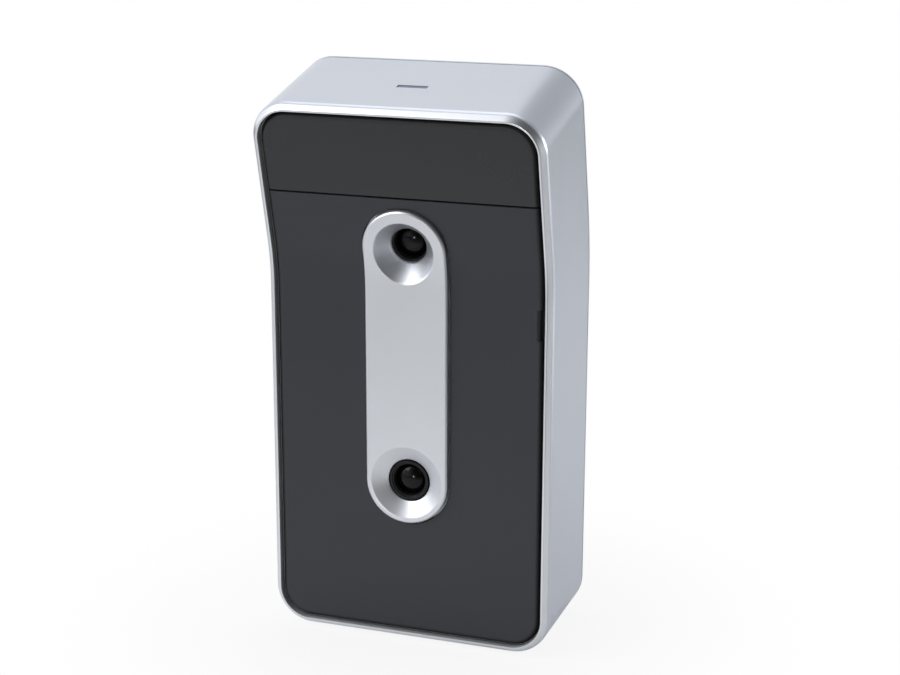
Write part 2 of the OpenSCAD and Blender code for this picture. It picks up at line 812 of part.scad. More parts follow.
module strobe_heat_sink() {
    fins = floor((2 * strobe_post_x - 2 * post_r - fin_pitch) / fin_pitch);
    color("gainsboro") at_upper() translate([0, 0, strobe_mid]) difference() {
        union() {
            plate(strobe_w, strobe_h, strobe_back, strobe_back + sink_base);
            for (i = [0 : fins]) translate([(i - fins / 2) * fin_pitch, 0, 0])
                plate(fin_t, strobe_h, strobe_back, chassis_d);
            at_four(strobe_post_x, strobe_post_h) rod(post_r, strobe_back, chassis_d);
        }
        at_four(strobe_post_x, strobe_post_h) rod(screw_r + hole_gap, strobe_back - over, chassis_d + over);
    }
}
module strobe_screws() {
    color("dimgray") at_upper() translate([0, 0, strobe_mid]) at_four(strobe_post_x, strobe_post_h)
        screw(screw_r, screw_head_r, screw_head_h, strobe_d, chassis_back - strobe_d);
}

// Main board
module main_board() {
    color("darkgreen") at_base() translate([0, 0, main_z]) difference() {
        plate(main_w, main_h, main_d, main_back);
        at_four(main_post_x, main_post_z) rod(screw_r + hole_gap, main_d - over, main_back + over);
    }
}
module main_board_chips() {
    color([0.13, 0.13, 0.14]) at_base() {
        for (z = [ribbon_low_z, ribbon_up_z]) translate([0, 0, z])
            plate(ribbon_w + 2 * plug_wall, plug_h, main_d - plug_t, main_d);
        for (side = [-1, 1]) translate([main_w / 4, 0, main_z + side * memory_h * 0.75])
            plate(memory_w, memory_h, main_back, main_back + chip_t);
        translate([main_w / 2 - radio_w, 0, main_z + radio_w])
            plate(radio_w, radio_w, main_back, main_back + chip_t);
        translate([tray_w / 2 + lead_t, 0, lead_z1 + lead_plug_h / 2])
            plate(lead_plug_w, lead_plug_h, main_back, main_back + lead_w + 2 * lead_lift);
    }
}
module processor() {
    color([0.2, 0.2, 0.22]) at_base() translate([processor_x, 0, main_z])
        plate(processor_w, processor_w, main_back, main_back + processor_t);
}
module processor_heat_sink() {
    d0 = main_back + processor_t;
    fins = floor(cooler_w / cooler_pitch);
    color("gainsboro") at_base() translate([processor_x, 0, main_z]) {
        plate(cooler_w, cooler_w, d0, d0 + cooler_base);
        for (i = [0 : fins]) translate([(i - fins / 2) * (cooler_w - cooler_fin_t) / fins, 0, 0])
            plate(cooler_fin_t, cooler_w, d0, d0 + cooler_t);
    }
}
module main_board_spacers() {
    color("goldenrod") at_base() translate([0, 0, main_z]) at_four(main_post_x, main_post_z) difference() {
        rod(post_r, chassis_back, main_d);
        rod(screw_r + hole_gap, chassis_back - over, main_d + over);
    }
}
module main_board_screws() {
    color("dimgray") at_base() translate([0, 0, main_z]) at_four(main_post_x, main_post_z)
        screw(screw_r, screw_head_r, screw_head_h, main_back, chassis_d - main_back);
}

// Battery
module tray_screws() {
    for (side = [-1, 1]) for (i = [1, cells - 1])
        at_base() translate([side * cell_len / 3, 0, tray_z + tray_rim + i * cell_pitch]) children();
}
module cell_row(r, len) {
    at_base() for (i = [0 : cells - 1])
        translate([0, cell_axis_d, tray_z + tray_rim + (i + 0.5) * cell_pitch])
            rotate([0, 90, 0]) cylinder(r = r, h = len, center = true);
}
module battery_tray() {
    color([0.2, 0.2, 0.2]) difference() {
        at_base() translate([0, 0, tray_z + tray_h / 2]) plate(tray_w, tray_h, chassis_back, cell_axis_d);
        cell_row(cell_r + cell_gap, cell_len + 2 * cell_gap);
        tray_screws()
            rod(screw_r + hole_gap, chassis_back - over, chassis_back + tray_screw_len + thread_room);
    }
}
module battery_cells() {
    color("royalblue") cell_row(cell_r, cell_len);
}
module battery_strap() {
    color("dimgray") at_base() translate([0, 0, tray_z + tray_h / 2]) {
        plate(strap_w, tray_h + 2 * strap_t, strap_back - strap_t, strap_back);
        for (side = [-1, 1]) translate([0, 0, side * (tray_h + strap_t) / 2])
            plate(strap_w, strap_t, cell_axis_d - strap_drop, strap_back);
    }
}
module battery_screws() {
    color("dimgray") tray_screws()
        screw(screw_r, screw_head_r, screw_head_h, chassis_d, chassis_t + tray_screw_len);
}
module battery_guard_board() {
    color("darkgreen") at_base() translate([tray_w / 2 + guard_t / 2, 0, tray_z + tray_h / 2])
        plate(guard_t, guard_h, chassis_back, cell_axis_d);
}
module battery_lead() {
    x0 = tray_w / 2 + guard_t;
    color("firebrick") at_base() translate([x0, main_back + lead_lift, lead_z0])
        cube([lead_t, lead_w, lead_z1 - lead_z0]);
}

// Input board, charging socket and power button
module input_board() {
    color("darkgreen") difference() {
        at_base() translate([-input_w / 2, input_d, input_z0]) cube([input_w, board_t, input_z1 - input_z0]);
        input_posts() rod(screw_r + hole_gap, input_d - over, input_back + over);
    }
}
module input_screws() {
    color("dimgray") input_posts()
        screw(screw_r, screw_head_r, screw_head_h, input_d, board_t + input_screw_len);
}
module charging_socket() {
    mouth = body_d - socket_set;
    color("lightgray") at_base() translate([0, 0, socket_z]) {
        difference() {
            depth_extrude(input_back, mouth) obround(socket_w, socket_h);
            depth_extrude(input_back + socket_floor, mouth + over)
                obround(socket_w - 2 * socket_wall, socket_h - 2 * socket_wall);
        }
        plate(tongue_w, tongue_t, input_back + socket_floor / 2, mouth - tongue_short);
    }
}
module button_switch() {
    color([0.15, 0.15, 0.15]) at_base() translate([0, 0, button_z]) difference() {
        plate(switch_w, switch_w, input_back, input_back + switch_t);
        rod(plunger_r + slide_gap, input_back + plunger_floor, input_back + switch_t + over);
    }
}
module switch_plunger() {
    color("ivory") at_base() translate([0, 0, button_z])
        rod(plunger_r, input_back + plunger_end - plunger_len, input_back + plunger_end);
}
module power_button() {
    flange_back = shell_d - button_rest_gap;
    face = body_d + button_proud;
    color([0.25, 0.26, 0.28]) at_base() translate([0, 0, button_z]) difference() {
        union() {
            rod(button_stem_r, input_back + plunger_end, flange_back);
            rod(button_r + button_flange, flange_back - button_flange_t, flange_back);
            rod(button_r, flange_back - button_flange_t, face);
        }
        translate([0, face + button_dish_r - button_dish, 0]) sphere(r = button_dish_r);
    }
}

// Status light in the top
module status_board() {
    color("darkgreen") difference() {
        at_upper() translate([-status_board_w / 2, status_d - status_board_d / 2, status_board_h])
            cube([status_board_w, status_board_d, status_board_t]);
        status_posts() translate([0, 0, -over])
            cylinder(r = screw_r + hole_gap, h = status_board_t + 2 * over);
    }
}
module status_leds() {
    color("aliceblue") at_upper() for (i = [-1 : 1])
        translate([i * status_w / 3, status_d, status_board_h + status_board_t]) linear_extrude(status_led_t)
            square(status_led_w, center = true);
}
module status_light_pipe() {
    foot = status_board_h + status_board_t + status_led_t;
    color("lightsteelblue") at_upper() translate([0, status_d, 0]) {
        translate([0, 0, foot]) linear_extrude(top_h - status_set - foot)
            square([status_w, status_t], center = true);
        translate([0, 0, ceiling_h - status_flange_t]) linear_extrude(status_flange_t)
            square([status_w + 2 * status_flange_w, status_t + 2 * status_flange_w], center = true);
    }
}
module status_screws() {
    color("dimgray") status_posts() rotate([90, 0, 0])
        screw(screw_r, screw_head_r, screw_head_h, 0, status_board_t + status_screw_len);
}

// Ribbons from the cameras through the chassis to the main board
module ribbon_end(z) {
    at_base() translate([0, 0, z]) plate(ribbon_w, ribbon_t, ribbon_d + ribbon_t / 2, main_d - plug_t);
}
module lower_camera_ribbon() {
    board_back = lower_lens_d + board_a + board_t;
    start_z = lower_cam_z + spacer_at / 2;
    color("wheat") {
        at_base() translate([0, 0, start_z]) plate(ribbon_w, ribbon_t, board_back, ribbon_d + ribbon_t / 2);
        at_base() translate([-ribbon_w / 2, ribbon_d, start_z])
            cube([ribbon_w, ribbon_t, ribbon_low_z - start_z]);
        ribbon_end(ribbon_low_z);
    }
}
module upper_camera_ribbon() {
    board_back = upper_lens_d + board_a + board_t;
    start_h = spacer_at / 2;
    color("wheat") {
        at_upper() translate([0, 0, start_h]) plate(ribbon_w, ribbon_t, board_back, ribbon_d + ribbon_t / 2);
        bent() slab(ribbon_w, ribbon_d, ribbon_d + ribbon_t, ribbon_up_z, start_h);
        ribbon_end(ribbon_up_z);
    }
}

// Antenna on the side wall, pad under the base, bare plate on the back
module wireless_antenna() {
    color("peru") at_base() translate([-in_w / 2, antenna_d, main_z - antenna_h / 2 - 6])
        cube([antenna_t, antenna_w, antenna_h]);
}
module base_pad() {
    color([0.1, 0.1, 0.1]) at_base() translate([0, body_d / 2, -pad_proud])
        linear_extrude(pad_proud + pad_sink) round_rect(pad_w, pad_d, corner_r / 2 - pocket_gap);
}
module rating_plate() {
    color("gainsboro") at_base() translate([0, 0, plate_z]) depth_extrude(body_d - plate_t, body_d)
        round_rect(plate_w, plate_h, plate_r - pocket_gap);
}

main_shell();
rear_cover();
front_panel();
strobe_window();
panel_gasket();
camera_bezel();
lower_lens_barrel();
upper_lens_barrel();
lower_lens_glass();
upper_lens_glass();
lower_lens_holder();
upper_lens_holder();
lower_sensor_board();
upper_sensor_board();
lower_image_sensor();
upper_image_sensor();
camera_spacers();
camera_screws();
chassis();
hex_standoffs();
cover_screws();
strobe_board();
strobe_emitters();
strobe_heat_sink();
strobe_screws();
main_board();
main_board_chips();
processor();
processor_heat_sink();
main_board_spacers();
main_board_screws();
battery_tray();
battery_cells();
battery_strap();
battery_screws();
battery_guard_board();
battery_lead();
input_board();
charging_socket();
button_switch();
switch_plunger();
power_button();
input_screws();
status_board();
status_leds();
status_light_pipe();
status_screws();
lower_camera_ribbon();
upper_camera_ribbon();
wireless_antenna();
base_pad();
rating_plate();
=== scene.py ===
"""Launch monitor with two cameras: the looks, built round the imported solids.

Metres outside, millimetres inside the shape functions. x is the width, y the depth (the front
faces -y), z the height, with the origin under the middle of the base pad.
"""
import math

import bmesh
import bpy
import numpy as np
from mathutils import Matrix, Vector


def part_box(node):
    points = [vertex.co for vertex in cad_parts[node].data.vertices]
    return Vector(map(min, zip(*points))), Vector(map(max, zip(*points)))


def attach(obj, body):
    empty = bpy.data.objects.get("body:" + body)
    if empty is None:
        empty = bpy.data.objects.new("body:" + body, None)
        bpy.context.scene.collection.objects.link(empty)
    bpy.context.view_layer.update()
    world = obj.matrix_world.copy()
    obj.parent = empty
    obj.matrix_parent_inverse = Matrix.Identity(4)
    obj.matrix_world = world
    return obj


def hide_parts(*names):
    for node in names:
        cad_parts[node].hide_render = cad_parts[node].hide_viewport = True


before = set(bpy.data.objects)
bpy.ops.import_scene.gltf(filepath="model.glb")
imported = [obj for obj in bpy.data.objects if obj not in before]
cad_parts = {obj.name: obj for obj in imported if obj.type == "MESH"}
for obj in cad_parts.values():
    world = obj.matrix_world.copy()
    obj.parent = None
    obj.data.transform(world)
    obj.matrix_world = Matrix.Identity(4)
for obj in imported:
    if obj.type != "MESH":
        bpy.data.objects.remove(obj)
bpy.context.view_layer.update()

MM = 0.001

# Body, as in the part's source. Without its bend the two straight parts would meet at BEND_AT.
BODY_W, BODY_D, CORNER_R = 122.0, 56.0, 16.0
PAD_PROUD = 1.0
LEAN = math.radians(14)
BEND_R = 80.0
BEND_TANGENT = BEND_R * math.tan(LEAN / 2)
BEND_AT, UPPER_RUN = 158.0, 70.0
BEND_Z = BEND_AT - BEND_TANGENT
LEAN_START = BEND_Z + BEND_R * LEAN
TOP_S = LEAN_START + (UPPER_RUN - BEND_TANGENT)
WALL = 2.4
SHELL_D = 53.4

# Front rim, panels and the seam between them
RIM_W, RIM_LAND, RIM_BEVEL = 3.1, 0.9, 2.9
PANEL_FACE, PANEL_BACK, PANEL_GAP = 0.8, 3.0, 1.1
OPENING_IN = RIM_W + PANEL_GAP
OPENING_W = BODY_W - 2 * OPENING_IN
OPENING_R = CORNER_R - OPENING_IN
LEDGE_W, LEDGE_T, LEDGE_D = 4.0, 2.0, 3.5
SEAM_UP, SEAM_GAP = 32.5, 0.6
SEAM_S = LEAN_START + SEAM_UP - BEND_TANGENT
NOTCH_Z, NOTCH_H, NOTCH_W = 141.0, 13.6, 1.1

# Slot for the status light in the top
STATUS_W, STATUS_T, STATUS_D, STATUS_GAP = 12.4, 2.2, 25.0, 0.2

# Camera bar, its dish and its cone
BAR_W, BAR_PROUD, BAR_BEVEL, BAR_GAP = 35.4, 1.3, 0.7, 0.5
FLANGE_W, FLANGE_T, FLANGE_GAP = 3.0, 1.5, 0.05
LOWER_CAM_Z = 70.0
UPPER_CAM_H = 0.2
UPPER_CAM_S = LEAN_START + UPPER_CAM_H
DISH_R, DISH_DEPTH = 15.4, 3.6
CONE_R, CONE_DEPTH, CONE_HOLE_R, CONE_LIP, CONE_WALL = 12.8, 7.0, 7.5, 0.6, 1.6
LIP_ROLL = 0.35

# Lenses: a head with a stepped mouth, a thinner tail behind it, and a domed glass
LENS_R, LENS_HEAD_D = 8.5, 5.0
MOUTH_R, MOUTH_STEP_R, MOUTH_SHELF_R, MOUTH_STEP_D, MOUTH_END_D = 7.6, 7.4, 7.0, 0.4, 1.6
GLASS_SEAT_R, GLASS_SEAT_D = 6.5, 3.5
TAIL_R, TAIL_BORE_R, TAIL_D = 6.0, 4.6, 14.0
GLASS_EDGE_R, GLASS_DOME_R, GLASS_FRONT_D = 6.4, 9.0, 0.5
LOWER_LENS_D = DISH_DEPTH - BAR_PROUD
UPPER_LENS_D = 6.5

# Power button: a cap with a dish and a rolled rim, a flange behind the cover and a stem
BUTTON_Z, BUTTON_R, BUTTON_PROUD = 132.0, 6.5, 0.6
BUTTON_DISH_R, BUTTON_DISH_D, BUTTON_BALL_R = 4.3, 0.4, 26.0
BUTTON_ROLL_W, BUTTON_ROLL_D = 0.7, 0.6
BUTTON_FLANGE_R, BUTTON_FLANGE_T, BUTTON_STEM_R, BUTTON_SEAT_GAP = 7.8, 1.2, 2.5, 0.1


def bent(x, d, s):
    """Points of the bent body. x is the width, d the depth behind the rim and s the run up the rim.

    Straight up to the bend, then round an axis BEND_R in front of the rim through the lean angle,
    then straight on.
    """
    turn = np.clip((s - BEND_Z) / BEND_R, 0.0, LEAN)
    rest = np.minimum(s - BEND_Z, 0.0) + np.maximum(s - LEAN_START, 0.0)
    y = -BODY_D / 2 - BEND_R + (BEND_R + d) * np.cos(turn) - rest * np.sin(turn)
    z = PAD_PROUD + BEND_Z + (BEND_R + d) * np.sin(turn) + rest * np.cos(turn)
    return np.stack(np.broadcast_arrays(x, y, z), axis=-1) * MM


def leaning(x, d, h):
    """Points in the straight frame of the leaning part: width x, depth d behind its rim, height h up it."""
    y = -BODY_D / 2 - BEND_R + (BEND_R + d) * math.cos(LEAN) - h * math.sin(LEAN)
    z = PAD_PROUD + BEND_Z + (BEND_R + d) * math.sin(LEAN) + h * math.cos(LEAN)
    return np.stack(np.broadcast_arrays(x, y, z), axis=-1) * MM


def upright(x, d, z):
    """Points in the straight frame of the upright part: width x, depth d behind its rim, height z."""
    return np.stack(np.broadcast_arrays(x, d - BODY_D / 2, z + PAD_PROUD), axis=-1) * MM


def grid_faces(rows, cols, wrap_rows=False, wrap_cols=False):
    """Quads between neighbours in a grid; a wrapped direction joins its last line to its first."""
    i, j = np.meshgrid(np.arange(rows - (not wrap_rows)), np.arange(cols - (not wrap_cols)), indexing="ij")
    up, on = (i + 1) % rows, (j + 1) % cols
    quads = np.stack([i * cols + j, i * cols + on, up * cols + on, up * cols + j], axis=-1)
    return quads.reshape(-1, 4)


def surface(points, wrap_rows=False, wrap_cols=False, keep=None):
    """A grid of points with its quads; keep marks the quads that stay, for openings along its lines."""
    rows, cols = points.shape[:2]
    faces = grid_faces(rows, cols, wrap_rows, wrap_cols)
    return points.reshape(-1, 3), faces if keep is None else faces[keep.reshape(-1)]


SIDE_SHARE = 0.48


def softened(corners, radius, steps=4):
    """Closed profile with rounded corners.

    Each corner becomes a quadratic curve between points one radius before and after it along its two
    sides, or SIDE_SHARE of a side where that is less.
    """
    p = np.array(corners, dtype=float)
    r = np.broadcast_to(np.array(radius, dtype=float), (len(p),))[:, None]
    back, on = np.roll(p, 1, axis=0) - p, np.roll(p, -1, axis=0) - p
    start = p + back * np.minimum(r / np.linalg.norm(back, axis=1, keepdims=True), SIDE_SHARE)
    end = p + on * np.minimum(r / np.linalg.norm(on, axis=1, keepdims=True), SIDE_SHARE)
    t = np.linspace(0.0, 1.0, steps + 1)[None, :, None]
    curve = (1 - t) ** 2 * start[:, None] + 2 * t * (1 - t) * p[:, None] + t ** 2 * end[:, None]
    return curve.reshape(-1, 2)


ARC_CLEAR = 0.01


def rounded_outline(width, s0, s1, r_low, r_high, side_s, low_x, high_x, arc_steps=14, square_low=None,
                    square_high=None):
    """Edge points of a rounded rectangle and the way each moves out, anticlockwise seen from the front.

    A ring lies at edge - inset * way, so rings of every inset share their samples. side_s are the
    samples up a straight side; low_x and high_x are the samples across the bottom and the top, left
    out within ARC_CLEAR of an arc. A square end, given as a share, takes only that share of the inset
    along the run, and draws in evenly across the width.
    """
    turn = np.linspace(0.0, math.pi / 2, arc_steps + 1)
    r = np.array([r_low, r_high, r_high, r_low])
    corner_x = np.array([1, 1, -1, -1]) * (width / 2 - r)
    corner_s = np.array([s0, s1, s1, s0]) + np.array([1, -1, -1, 1]) * r
    corner = np.stack([corner_x, corner_s], axis=-1)
    angle = turn[None, :] + np.array([-math.pi / 2, 0.0, math.pi / 2, math.pi])[:, None]
    arc_way = np.stack([np.cos(angle), np.sin(angle)], axis=-1)

    def run(x, s, way):
        """A straight stretch, whose points all move the same way."""
        edge = np.stack(np.broadcast_arrays(np.asarray(x, float), np.asarray(s, float)), axis=-1)
        return squared(edge, np.broadcast_to(np.array(way, float), edge.shape), way[1])

    def arc(k):
        """The corner of number k, whose points move out from its centre."""
        return squared(corner[k] + r[k] * arc_way[k], arc_way[k], (-1, 1, 1, -1)[k])

    def squared(edge, way, end):
        """The same stretch, with the ways of a square end where it lies on one: 1 the top, -1 the bottom."""
        share = {1: square_high, -1: square_low}.get(end)
        if share is None:
            return edge, way
        return edge, np.stack(np.broadcast_arrays(edge[:, 0] / (width / 2), end * share), axis=-1)

    up = side_s[(side_s > s0 + r_low + ARC_CLEAR) & (side_s < s1 - r_high - ARC_CLEAR)]
    low_x = low_x[np.abs(low_x) < width / 2 - r_low - ARC_CLEAR]
    high_x = high_x[np.abs(high_x) < width / 2 - r_high - ARC_CLEAR]
    parts = [arc(0), run(width / 2, up, (1, 0)), arc(1), run(high_x[::-1], s1, (0, 1)),
             arc(2), run(-width / 2, up[::-1], (-1, 0)), arc(3), run(low_x, s0, (0, -1))]
    return tuple(np.concatenate(column) for column in zip(*parts))


def ring_at(outline, inset):
    """Width and run of the ring that lies inset from an outline; a column of insets gives a row each."""
    edge, way = outline
    return edge[:, 0] - inset * way[:, 0], edge[:, 1] - inset * way[:, 1]


def carried(profile, outline):
    """A profile of (inset, depth) points carried round an outline of the bent body, one row per point."""
    x, s = ring_at(outline, profile[:, :1])
    return bent(x, profile[:, 1:], s)


def revolved(profile, place, sides=96):
    """A profile of (radius, depth) points turned round the depth axis, set by place(x, depth, height)."""
    a = np.linspace(0.0, 2 * math.pi, sides, endpoint=False)
    return place(profile[:, :1] * np.cos(a), profile[:, 1:], profile[:, :1] * np.sin(a))


MERGE_M = 2e-6


def make_piece(name, grids, finish, stands_for, body="housing", crease=40.0, marks=None, lined=None):
    """One mesh from its grids: doubles merged, normals outward, smooth but for edges over crease degrees.

    marks holds a value per point, kept on the mesh as edge_in, from which the panels' finishes paint shade
    along their edges. lined gives each quad 0 for the piece's own finish, 1 for the bright rim, a lighter
    metal that paints its highlight, and 2 for the grey channel behind it, painted shade in that recess.
    """
    start = np.cumsum([0] + [len(points) for points, _ in grids[:-1]])
    points = np.concatenate([points for points, _ in grids])
    faces = np.concatenate([quads + shift for (_, quads), shift in zip(grids, start)])
    mesh = bpy.data.meshes.new(name)
    mesh.from_pydata(points.tolist(), [], faces.tolist())
    if marks is not None:
        kept = mesh.attributes.new("edge_in", "FLOAT", "POINT")
        kept.data.foreach_set("value", marks.astype(np.float32).ravel())
    if lined is not None:
        mesh.polygons.foreach_set("material_index", lined.astype(np.int32).ravel())
    shape = bmesh.new()
    shape.from_mesh(mesh)
    bmesh.ops.remove_doubles(shape, verts=shape.verts, dist=MERGE_M)
    bmesh.ops.recalc_face_normals(shape, faces=shape.faces)
    shape.to_mesh(mesh)
    shape.free()
    mesh.shade_smooth()
    mesh.set_sharp_from_angle(angle=math.radians(crease))
    piece = bpy.data.objects.new(name, mesh)
    bpy.context.scene.collection.objects.link(piece)
    shading = piece.modifiers.new("even_shading", "WEIGHTED_NORMAL")
    shading.keep_sharp = True
    mesh.materials.append(FINISHES[finish])
    if lined is not None:
        mesh.materials.append(FINISHES["rim_bright"])
        mesh.materials.append(FINISHES["channel_shade_grey"])
    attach(piece, body)
    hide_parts(stands_for)
    return piece


def group_tree(name, inputs, outputs):
    """An empty shader node group with float inputs (name, default) and float outputs."""
    tree = bpy.data.node_groups.new(name, "ShaderNodeTree")
    for label, value in inputs:
        socket = tree.interface.new_socket(label, in_out="INPUT", socket_type="NodeSocketFloat")
        socket.default_value = value
    for label in outputs:
        tree.interface.new_socket(label, in_out="OUTPUT", socket_type="NodeSocketFloat")
    return tree, tree.nodes.new("NodeGroupInput"), tree.nodes.new("NodeGroupOutput")


def joined(tree, kind, links, **settings):
    """A node of one kind in a tree, with its settings, and its inputs linked or set by name or number."""
    node = tree.nodes.new(kind)
    for label, value in settings.items():
        setattr(node, label, value)
    for label, value in links.items():
        if isinstance(value, bpy.types.NodeSocket):
            tree.links.new(value, node.inputs[label])
        else:
            node.inputs[label].default_value = value
    return node


def reckoned(tree, operation, first, second, **settings):
    """The result of one sum in a tree."""
    return joined(tree, "ShaderNodeMath", {0: first, 1: second}, operation=operation, **settings).outputs[0]


def ranged(tree, value, limits, results=(0.0, 1.0), **settings):
    """A value carried from one pair of limits to another."""
    ends = {"Value": value, "From Min": limits[0], "From Max": limits[1],
            "To Min": results[0], "To Max": results[1]}
    return joined(tree, "ShaderNodeMapRange", ends, **settings).outputs["Result"]


def own_place(tree):
    """Coordinates in the piece's own frame."""
    return joined(tree, "ShaderNodeTexCoord", {}).outputs["Object"]


def noise(tree, place, scale, detail):
    """Noise at a place, as a value."""
    return joined(tree, "ShaderNodeTexNoise", {"Vector": place, "Scale": scale, "Detail": detail}).outputs[0]


FINER_GRAIN = 2.3
BRUSH_PRESS = (1.0, 1.0, 0.02)
SMUDGE_LIMITS, BRUSH_LIMITS = (0.2, 0.8), (0.3, 0.7)
DUST_SCALE, DUST_UPWARD, DUST_BROKEN = 420.0, (0.55, 1.0), (0.45, 0.75)


def fine_grain_group():
    """Fine even grain: noise at the given scale and a finer one, halved for height, spread for a mask."""
    tree, given, out = group_tree("fine_grain", [("Scale", 2000.0), ("Contrast", 1.0)], ["Height", "Mask"])
    place = own_place(tree)
    coarse = noise(tree, place, given.outputs["Scale"], 2.0)
    fine = noise(tree, place, reckoned(tree, "MULTIPLY", given.outputs["Scale"], FINER_GRAIN), 1.0)
    half = reckoned(tree, "MULTIPLY", reckoned(tree, "ADD", coarse, fine), 0.5)
    off = reckoned(tree, "SUBTRACT", half, 0.5)
    spread = reckoned(tree, "MULTIPLY", off, given.outputs["Contrast"])
    tree.links.new(half, out.inputs["Height"])
    tree.links.new(reckoned(tree, "ADD", spread, 0.5, use_clamp=True), out.inputs["Mask"])
    return tree


def handling_group():
    """Broad soft smudges left by handling: low noise stretched between 0 and 1."""
    tree, given, out = group_tree("handling_smudges", [("Scale", 30.0)], ["Mask"])
    broad = noise(tree, own_place(tree), given.outputs["Scale"], 2.0)
    tree.links.new(ranged(tree, broad, SMUDGE_LIMITS), out.inputs["Mask"])
    return tree


def brushed_group():
    """Lines of brushing along the height: noise on coordinates pressed flat along z."""
    tree, given, out = group_tree("brushed_lines", [("Scale", 1500.0)], ["Height", "Mask"])
    pressed = joined(tree, "ShaderNodeMapping", {"Vector": own_place(tree), "Scale": BRUSH_PRESS}).outputs[0]
    lines = noise(tree, pressed, given.outputs["Scale"], 2.0)
    tree.links.new(lines, out.inputs["Height"])
    tree.links.new(ranged(tree, lines, BRUSH_LIMITS), out.inputs["Mask"])
    return tree


def dust_group():
    """Thin dust on faces that look up: how far the normal points up, times a broken noise."""
    tree, given, out = group_tree("settled_dust", [("Amount", 0.2)], ["Mask"])
    facing = joined(tree, "ShaderNodeNewGeometry", {}).outputs["Normal"]
    upward = joined(tree, "ShaderNodeSeparateXYZ", {0: facing}).outputs[2]
    top = ranged(tree, upward, DUST_UPWARD)
    broken = ranged(tree, noise(tree, own_place(tree), DUST_SCALE, 4.0), DUST_BROKEN)
    both = reckoned(tree, "MULTIPLY", top, broken)
    tree.links.new(reckoned(tree, "MULTIPLY", both, given.outputs["Amount"]), out.inputs["Mask"])
    return tree


GRAIN, SMUDGES, BRUSHED, DUST = fine_grain_group(), handling_group(), brushed_group(), dust_group()


def placed(tree, group, **values):
    """A shared effect placed in a material with its own values."""
    node = tree.nodes.new("ShaderNodeGroup")
    node.node_tree = group
    for label, value in values.items():
        node.inputs[label].default_value = value
    return node


def tone_mix(tree, mask, low, high):
    """Colour between two tones by a mask; either tone may be a colour or a socket."""
    node = tree.nodes.new("ShaderNodeMix")
    node.data_type = "RGBA"
    tree.links.new(mask, node.inputs[0])
    for number, tone in ((6, low), (7, high)):
        if isinstance(tone, bpy.types.NodeSocket):
            tree.links.new(tone, node.inputs[number])
        else:
            node.inputs[number].default_value = (*tone, 1.0)
    return node.outputs[2]


# Dust tone; then painted shade along the panels' edges, where the rim and gap shade them: its near-black tone
# and roughness
DUST_TONE, EDGE_SHADE_TONE, EDGE_SHADE_ROUGH = (0.62, 0.61, 0.59), (0.0015, 0.0015, 0.0018), 0.75


def made_finish(name, low, high, rough, metal=0.0, grain=1800.0, contrast=1.6, bump=0.15, depth=0.00004,
                smudge=35.0, dust=0.0, brushed=False, edge_shade=None, **plain):
    """One finish: two tones mixed by grain or brushing, dust, roughness moved by smudges, grain as bump.

    The argument for painted edge shade gives two distances in from a panel's edge, in millimetres, between
    which painted shade, near black and rougher, fades out. plain holds the shader's own constant sockets.
    """
    made = bpy.data.materials.new(name)
    made.use_nodes = True
    tree = made.node_tree
    shader = tree.nodes["Principled BSDF"]
    if brushed:
        texture = placed(tree, BRUSHED, Scale=grain)
    else:
        texture = placed(tree, GRAIN, Scale=grain, Contrast=contrast)
    colour = tone_mix(tree, texture.outputs["Mask"], low, high)
    if dust:
        colour = tone_mix(tree, placed(tree, DUST, Amount=dust).outputs["Mask"], colour, DUST_TONE)
    wiped = ranged(tree, placed(tree, SMUDGES, Scale=smudge).outputs["Mask"], (0.0, 1.0), rough)
    # Painted shade: towards a panel's edge the colour goes near black and the surface rougher
    if edge_shade:
        edge = joined(tree, "ShaderNodeAttribute", {}, attribute_name="edge_in").outputs["Fac"]
        inner = ranged(tree, edge, edge_shade, interpolation_type="SMOOTHSTEP")
        colour = tone_mix(tree, inner, EDGE_SHADE_TONE, colour)
        wiped = joined(tree, "ShaderNodeMix", {0: inner, 2: EDGE_SHADE_ROUGH, 3: wiped}).outputs[0]
    tree.links.new(colour, shader.inputs["Base Color"])
    tree.links.new(wiped, shader.inputs["Roughness"])
    relief = joined(tree, "ShaderNodeBump",
                    {"Height": texture.outputs["Height"], "Strength": bump, "Distance": depth})
    tree.links.new(relief.outputs["Normal"], shader.inputs["Normal"])
    shader.inputs["Metallic"].default_value = metal
    for label, value in plain.items():
        shader.inputs[label.replace("_", " ")].default_value = value
    return made


# Painted shade along the panel's and window's edges fades out between these distances in from the edge, in
# millimetres
PANEL_EDGE_SHADE = (0.0, 1.8)

